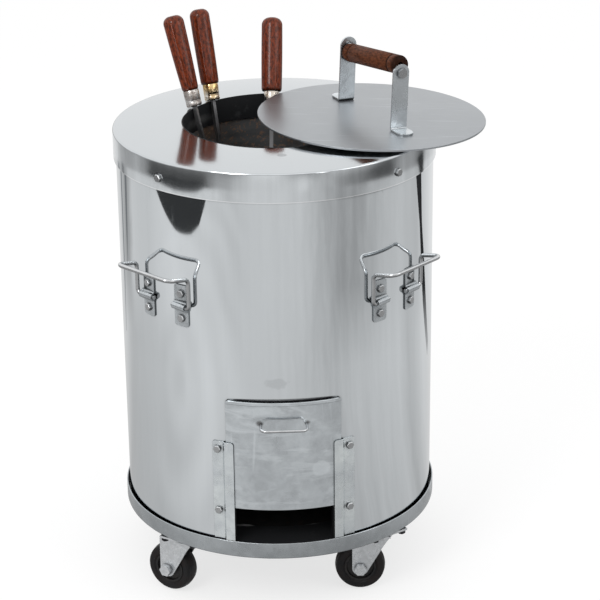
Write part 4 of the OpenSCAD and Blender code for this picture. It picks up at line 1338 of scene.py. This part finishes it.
class TANDOOR_OT_skewers(bpy.types.Operator):
    """Turns the skewers' wooden handles and rolls their ferrules"""

    bl_idname = "tandoor.skewers"
    bl_label = "Skewers"

    def execute(self, context):
        s = context.scene.tandoor_sizes
        for name, low_d, top_d in zip(SKEWERS, s.wood_low, s.wood_top):
            place = skewer_place(name)
            self.ferrule(s, name, place)
            self.wood(s, name, place, low_d / 2, top_d / 2)
        return {"FINISHED"}

    def ferrule(self, s, name, place):
        """Thin tube with a rounded foot and two rolled lines."""
        r, h = s.ferrule_width / 2, s.ferrule_length
        wall, bore = 0.8 * MM, 0.5 * MM
        side = [(bore, 0), (r - 1.6 * MM, 0), (r - 0.5 * MM, 0.6 * MM), (r - 0.05 * MM, 2.4 * MM)]
        for at in (0.30 * h, 0.36 * h):
            side += [(r, at - 0.5 * MM), (r - 0.35 * MM, at), (r, at + 0.5 * MM)]
        side += [(r, h - 0.4 * MM), (r - 0.2 * MM, h)]
        side += [(r - wall, h), (r - wall, wall), (bore, wall)]
        made, node = f"ferrule_{name}", f"skewer_ferrule_{name}"
        turned(made, side, made, node, place=place, sharp=LIP)

    def wood(self, s, name, place, low_r, top_r):
        """Turned handle: a shoulder at the ferrule, a slow swell and a domed top."""
        seam, shoulder, steps = 0.05 * MM, 4 * MM, 11
        bottom = s.ferrule_length + seam
        top = bottom + s.wood_length
        dome, swell_h = top_r * 0.72, 0.35 * MM
        side = [
            (0, bottom), (low_r - 2.0 * MM, bottom), (low_r - 0.7 * MM, bottom + 1.0 * MM),
            (low_r, bottom + shoulder),
        ]
        straight = top - dome - bottom - shoulder
        for k in range(1, steps + 1):
            u = k / steps
            swell = math.sin(math.pi * u) * swell_h
            side.append((low_r + (top_r - low_r) * u + swell, bottom + shoulder + straight * u))
        for turn in (math.radians(a) for a in range(8, 90, 8)):
            side.append((top_r - dome + dome * math.cos(turn), top - dome + dome * math.sin(turn)))
        side.append((0, top))
        made, node = f"turned_wood_{name}", f"skewer_handle_{name}"
        turned(made, side, f"handle_wood_{name}", node, place=place, sharp=ROUND)


class TANDOOR_OT_pot(bpy.types.Operator):
    """Works the clay pot's surface"""

    bl_idname = "tandoor.pot"
    bl_label = "Clay pot"

    def execute(self, context):
        s = context.scene.tandoor_sizes
        bm = bmesh.new()
        bm.from_mesh(NODES["clay_pot"].data)
        bmesh.ops.remove_doubles(bm, verts=bm.verts, dist=10 * MERGED)
        bmesh.ops.recalc_face_normals(bm, faces=bm.faces)
        fine = worked(mesh_of(bm, "pot"), "REMESH", mode="VOXEL", voxel_size=s.clay_grain)
        made = grown("pot", fine, clay_tree, "fired_clay", Depth=s.clay_hollows)
        shade(made, ROUND)
        piece("pot", made, "fired_clay", "clay_pot")
        return {"FINISHED"}


# The stage


def stage_object(name, verts, faces, material):
    """A mesh of the studio, which is no piece of the oven."""
    mesh = plain_mesh(name, verts, faces=faces)
    mesh.materials.append(material)
    obj = placed(name, mesh)
    return obj


def bare_material(name):
    """A Tree on a new material that has no shader yet, and the material."""
    material = bpy.data.materials.new(name)
    material.use_nodes = True
    nodes = material.node_tree.nodes
    nodes.remove(nodes["Principled BSDF"])
    return Tree(material.node_tree), material


def show(t, shader):
    """Makes a shader the surface of a tree's material."""
    t.feed(t.tree.nodes["Material Output"].inputs["Surface"], shader)


def floor_material(s):
    """Pale floor: lit and shadowed for the eye, a glowing studio surround for steel, with painted
    shade near the object.
    """
    t, material = bare_material("studio_floor")
    where = t.place()
    parts = t.parts(where)
    around = t.math("ARCTAN2", parts[0], t.times(parts[1], -1.0))
    turn = t.plus(t.times(around, 0.5 / math.pi), 0.5)
    sideways = t.minus(turn, 0.5)
    away = t.math("MULTIPLY_ADD", t.times(sideways, sideways), 0.314, t.length(where))
    folds = t.noise(t.mapping(where, scale=(2.2, 2.2, 1)), 1.0, 4.0, 0.6, 1.5)
    turn = t.plus(turn, t.times(t.minus(folds, 0.5), 0.02))
    # The studio about the steel: what lies near, then farther off, in (from, to, stops) steps
    panels = t.ramp(
        turn,
        (0.00, 0.72), (0.11, 0.72), (0.15, 0.60), (0.22, 0.67), (0.29, 0.72), (0.36, 0.85),
        (0.44, 0.74), (0.52, 0.70), (0.59, 0.60), (0.66, 0.68), (0.75, 0.76), (0.78, 0.62),
        (0.84, 0.80), (1.00, 0.72),
    )
    for start, end, stops in (
        (1.1, 1.5, (
            (0.00, 0.78), (0.08, 0.77), (0.12, 0.48), (0.14, 0.46), (0.16, 0.76), (0.22, 0.74),
            (0.29, 0.88), (0.37, 0.80), (0.42, 0.72), (0.46, 0.76), (0.54, 0.74), (0.57, 0.62),
            (0.61, 0.46), (0.65, 0.44), (0.70, 0.60), (0.76, 0.70), (0.82, 0.62), (0.85, 0.75),
            (0.90, 0.88), (1.00, 0.78),
        )),
        (2.05, 2.068, (
            (0.00, 0.85), (0.09, 0.83), (0.12, 0.55), (0.15, 0.44), (0.19, 0.50), (0.22, 0.34),
            (0.24, 0.10), (0.36, 0.09), (0.39, 0.45), (0.42, 0.60), (0.46, 0.75), (0.52, 0.72),
            (0.55, 0.83), (0.57, 0.58), (0.60, 0.52), (0.63, 0.32), (0.66, 0.26), (0.69, 0.10),
            (0.73, 0.10), (0.76, 0.42), (0.79, 0.42), (0.83, 0.18), (0.86, 0.65), (0.91, 0.83),
            (1.00, 0.85),
        )),
        (2.6, 3.6, (
            (0.00, 0.40), (0.30, 0.34), (0.42, 0.26), (0.46, 0.90), (0.49, 0.90), (0.54, 0.30),
            (0.58, 0.34), (0.61, 0.80), (0.67, 0.80), (0.72, 0.30), (1.00, 0.40),
        )),
    ):
        step = t.math("DIVIDE", t.minus(away, start), end - start, clamp=True)
        panels = t.mix(step, panels, t.ramp(turn, *stops))
    # Painted shade: the mirrored floor grows darker towards the object, standing for the object's
    # own shadow at its foot
    near = t.ramp(t.math("DIVIDE", away, 4.0), (0.09, 0.84), (0.16, 0.92), (0.25, 1.0))
    panels = t.mix(1.0, panels, near, "MULTIPLY")
    # Long creases that run away from the object on its right, and rings on its left
    spread = t.out("ShaderNodeCombineXYZ", {0: t.times(turn, 70.0), 1: t.times(away, 1.6)})
    creases = t.ramp(t.noise(spread, 1.0, 4.0, 0.6), (0.30, 0.20), (0.50, 0.5), (0.70, 0.85))
    side = t.ramp(turn, (0.44, 0.15), (0.53, 0.8), (0.66, 0.8), (0.80, 0.3))
    panels = t.mix(t.times(side, 0.22), panels, creases, "OVERLAY")
    centred = t.mapping(where, at=(0.95, 0.35, 0))
    rings = t.add(
        "ShaderNodeTexWave", {"Vector": centred, "Scale": 1.1, "Distortion": 4.0, "Detail": 2.0},
        wave_type="RINGS", rings_direction="SPHERICAL",
    ).outputs["Fac"]
    side = t.ramp(turn, (0.24, 0.0), (0.30, 0.5), (0.40, 0.5), (0.45, 0.0))
    panels = t.mix(t.times(side, 0.24), panels, rings, "OVERLAY")
    # What lights the object, what the camera sees and what steel mirrors
    plain = t.out("ShaderNodeBsdfDiffuse", {"Color": s.floor})
    lit = t.out("ShaderNodeBsdfDiffuse", {"Color": grey(0.34)})
    seen = t.out("ShaderNodeAddShader", {0: lit, 1: t.glow(grey(1), 0.70)})
    path = t.add("ShaderNodeLightPath").outputs
    gloss = t.math("MAXIMUM", path["Is Glossy Ray"], path["Is Transmission Ray"])
    out = t.out("ShaderNodeMixShader", {0: gloss, 1: plain, 2: t.glow(panels)})
    show(t, t.out("ShaderNodeMixShader", {0: path["Is Camera Ray"], 1: out, 2: seen}))
    return material


def card_material(name, level, fade):
    """A dark card whose near end, up to the distance fade, passes over into the floor."""
    t, material = bare_material(name)
    away = t.length(t.place())
    dark = (level, level * 1.03, level * 1.06)
    show(t, t.glow(t.ramp(t.math("DIVIDE", away, fade), (0.6, 0.70), (1.0, dark))))
    return material


def room_material(top):
    """A dark wall with two windows, which passes over into grey at its foot and top."""
    t, material = bare_material("room_end")
    parts = t.parts(t.place())
    width = 14.0
    across = t.math("MULTIPLY_ADD", parts[0], 1 / width)
    shown = t.ramp(
        across, (0.00, 0.05), (0.12, 0.01), (0.24, 0.01), (0.25, 1.0), (0.27, 1.0), (0.28, 0.01),
        (0.70, 0.01), (0.72, 0.6), (0.74, 0.6), (0.76, 0.01), (0.90, 0.01), (1.00, 0.05),
    )
    foot, rise_by, fall_by = 0.35, 0.65, 0.5
    rise = t.math("MULTIPLY_ADD", parts[2], 1 / rise_by, -foot / rise_by, clamp=True)
    fall = t.math("MULTIPLY_ADD", parts[2], -1 / fall_by, top / fall_by, clamp=True)
    shown = t.mix(t.times(rise, fall), (0.13, 0.13, 0.132), shown)
    show(t, t.glow(shown, 6.0))
    return material


# Where the pale floor ends in a darker room, as level, fade and outline: only the steel sees it
DARK_CARDS = {
    "room_left": (0.045, 0.5, [
        (-1.46, -1.51), (-1.55, -1.34), (-1.52, -1.07), (-1.57, -0.87), (-1.72, -0.51),
        (-1.94, -0.10), (-2.10, 0.20), (-2.25, 0.30), (-2.25, -0.60), (-1.85, -1.40),
    ]),
    "post_right": (0.03, 1.25, [
        (0.62, 0.60), (0.97, 0.68), (1.42, 0.84), (2.05, 0.86), (2.0, 1.25), (1.74, 1.14),
        (1.36, 0.94), (1.10, 0.88), (0.63, 0.68),
    ]),
    "post_left": (0.22, 1.6, [(-1.0, 0.93), (-1.52, 1.33), (-1.44, 1.46), (-0.98, 0.98)]),
    "post_far": (0.30, 1.3, [(-0.62, 0.78), (-1.22, 1.56), (-1.15, 1.66), (-0.59, 0.80)]),
}


class TANDOOR_OT_stage(bpy.types.Operator):
    """Sets up the floor, the studio light and the camera"""

    bl_idname = "tandoor.stage"
    bl_label = "Stage"

    def execute(self, context):
        s = context.scene.tandoor_stage
        scene = context.scene
        scene.view_settings.view_transform = "Standard"
        self.floor(s)
        self.room()
        self.world(scene, s)
        self.lamps(s)
        self.camera(scene, s)
        return {"FINISHED"}

    def floor(self, s):
        """The pale floor, with the dark cards lying on it."""
        far, above_floor = 40.0, 2 * MM
        corners = [(-far, -far, 0), (far, -far, 0), (far, far, 0), (-far, far, 0)]
        stage_object("studio_floor", corners, [(0, 1, 2, 3)], floor_material(s))
        for name, (level, fade, outline) in DARK_CARDS.items():
            verts = [(x, y, above_floor) for x, y in outline]
            faces = [tuple(range(len(outline)))]
            self.glossy_only(stage_object(name, verts, faces, card_material(name, level, fade)))

    def glossy_only(self, card):
        """Lets only mirroring surfaces see a card."""
        card.visible_camera = card.visible_diffuse = card.visible_shadow = False
        card.visible_transmission = False

    def room(self):
        """The room's dark end behind the camera, with two windows, for rods, bolts and varnish."""
        steps, radius, half_turn, foot, top = 40, 6.5, 115, 0.02, 2.1
        ends = [
            on_drum(radius, math.radians(-half_turn + 2 * half_turn * k / steps), 0.0)
            for k in range(steps + 1)
        ]
        verts = [(p.x, p.y, z) for z in (foot, top) for p in ends]
        faces = [(k, k + 1, steps + 2 + k, steps + 1 + k) for k in range(steps)]
        self.glossy_only(stage_object("room_end", verts, faces, room_material(top)))

    def world(self, scene, s):
        """Even light of the set strength, and full white where it is seen or mirrored."""
        world = bpy.data.worlds.new("studio")
        world.use_nodes = True
        scene.world = world
        t = Tree(world.node_tree)
        back = world.node_tree.nodes["Background"]
        path = t.add("ShaderNodeLightPath").outputs
        direct = t.math("MAXIMUM", path["Is Camera Ray"], path["Is Glossy Ray"])
        direct = t.math("MAXIMUM", direct, path["Is Transmission Ray"])
        t.feed(back.inputs["Strength"], t.plus(t.times(direct, 1.0 - s.sky), s.sky))
        t.feed(back.inputs["Color"], grey(1))

    def lamps(self, s):
        """A key lamp at the upper left and a weaker, wider fill at the right."""
        for name, at, aim, size, power in (
            ("key", (-1.6, -2.2, 2.6), (0, 0, 0.45), 1.2, s.key),
            ("fill", (2.4, -1.4, 2.0), (0, 0, 0.4), 1.5, s.key * 0.35),
        ):
            lamp = bpy.data.lights.new(name, "AREA")
            lamp.energy = power
            lamp.size = size
            obj = placed(name, lamp)
            obj.location = at
            obj.rotation_euler = (Vector(aim) - Vector(at)).to_track_quat("-Z", "Y").to_euler()

    def camera(self, scene, s):
        """The photograph's camera, by its yaw, pitch and roll in degrees and its place."""
        cam = bpy.data.cameras.new("camera")
        cam.sensor_width = 36.0
        cam.lens = s.lens
        yaw, pitch, roll = (math.radians(a) for a in (2.265, 21.968, -0.671))
        place = (-0.0820, -2.9373, 1.5939)
        ahead = Vector(
            (math.sin(yaw) * math.cos(pitch), math.cos(yaw) * math.cos(pitch), -math.sin(pitch))
        )
        level = Vector((math.cos(yaw), -math.sin(yaw), 0.0))
        up = level.cross(ahead)
        right = math.cos(roll) * level + math.sin(roll) * up
        top = math.cos(roll) * up - math.sin(roll) * level
        turn = Matrix((right, top, -ahead)).transposed().to_4x4()
        scene.camera = placed("camera", cam)
        scene.camera.matrix_world = Matrix.Translation(place) @ turn


class TANDOOR_PT_panel(bpy.types.Panel):
    """Lists the tandoor's pieces and finishes"""

    bl_label = "Tandoor"
    bl_idname = "TANDOOR_PT_panel"
    bl_space_type = "VIEW_3D"
    bl_region_type = "UI"
    bl_category = "Tandoor"

    def draw(self, context):
        layout = self.layout
        for group in (getattr(context.scene, name) for name in GROUP_CLASSES):
            box = layout.box()
            for key in group.__annotations__:
                box.prop(group, key)
        for operator in OPERATORS:
            layout.operator(operator.bl_idname)


OPERATORS = (
    TANDOOR_OT_finishes, TANDOOR_OT_drum, TANDOOR_OT_door, TANDOOR_OT_handles, TANDOOR_OT_bolts,
    TANDOOR_OT_lid, TANDOOR_OT_skewers, TANDOOR_OT_pot, TANDOOR_OT_stage,
)
GROUP_CLASSES = {
    "tandoor_sizes": TandoorSizes,
    "tandoor_finishes": TandoorFinishes,
    "tandoor_stage": TandoorStage,
}


def register():
    for cls in (*GROUP_CLASSES.values(), *OPERATORS, TANDOOR_PT_panel):
        bpy.utils.register_class(cls)
    for name, cls in GROUP_CLASSES.items():
        setattr(bpy.types.Scene, name, bpy.props.PointerProperty(type=cls))


def unregister():
    for name in GROUP_CLASSES:
        delattr(bpy.types.Scene, name)
    for cls in (TANDOOR_PT_panel, *reversed(OPERATORS), *GROUP_CLASSES.values()):
        bpy.utils.unregister_class(cls)


def main():
    register()
    bpy.ops.tandoor.finishes()
    bpy.ops.tandoor.drum()
    bpy.ops.tandoor.door()
    bpy.ops.tandoor.handles()
    bpy.ops.tandoor.bolts()
    bpy.ops.tandoor.lid()
    bpy.ops.tandoor.skewers()
    bpy.ops.tandoor.pot()
    bpy.ops.tandoor.stage()


if __name__ == "__main__":
    main()
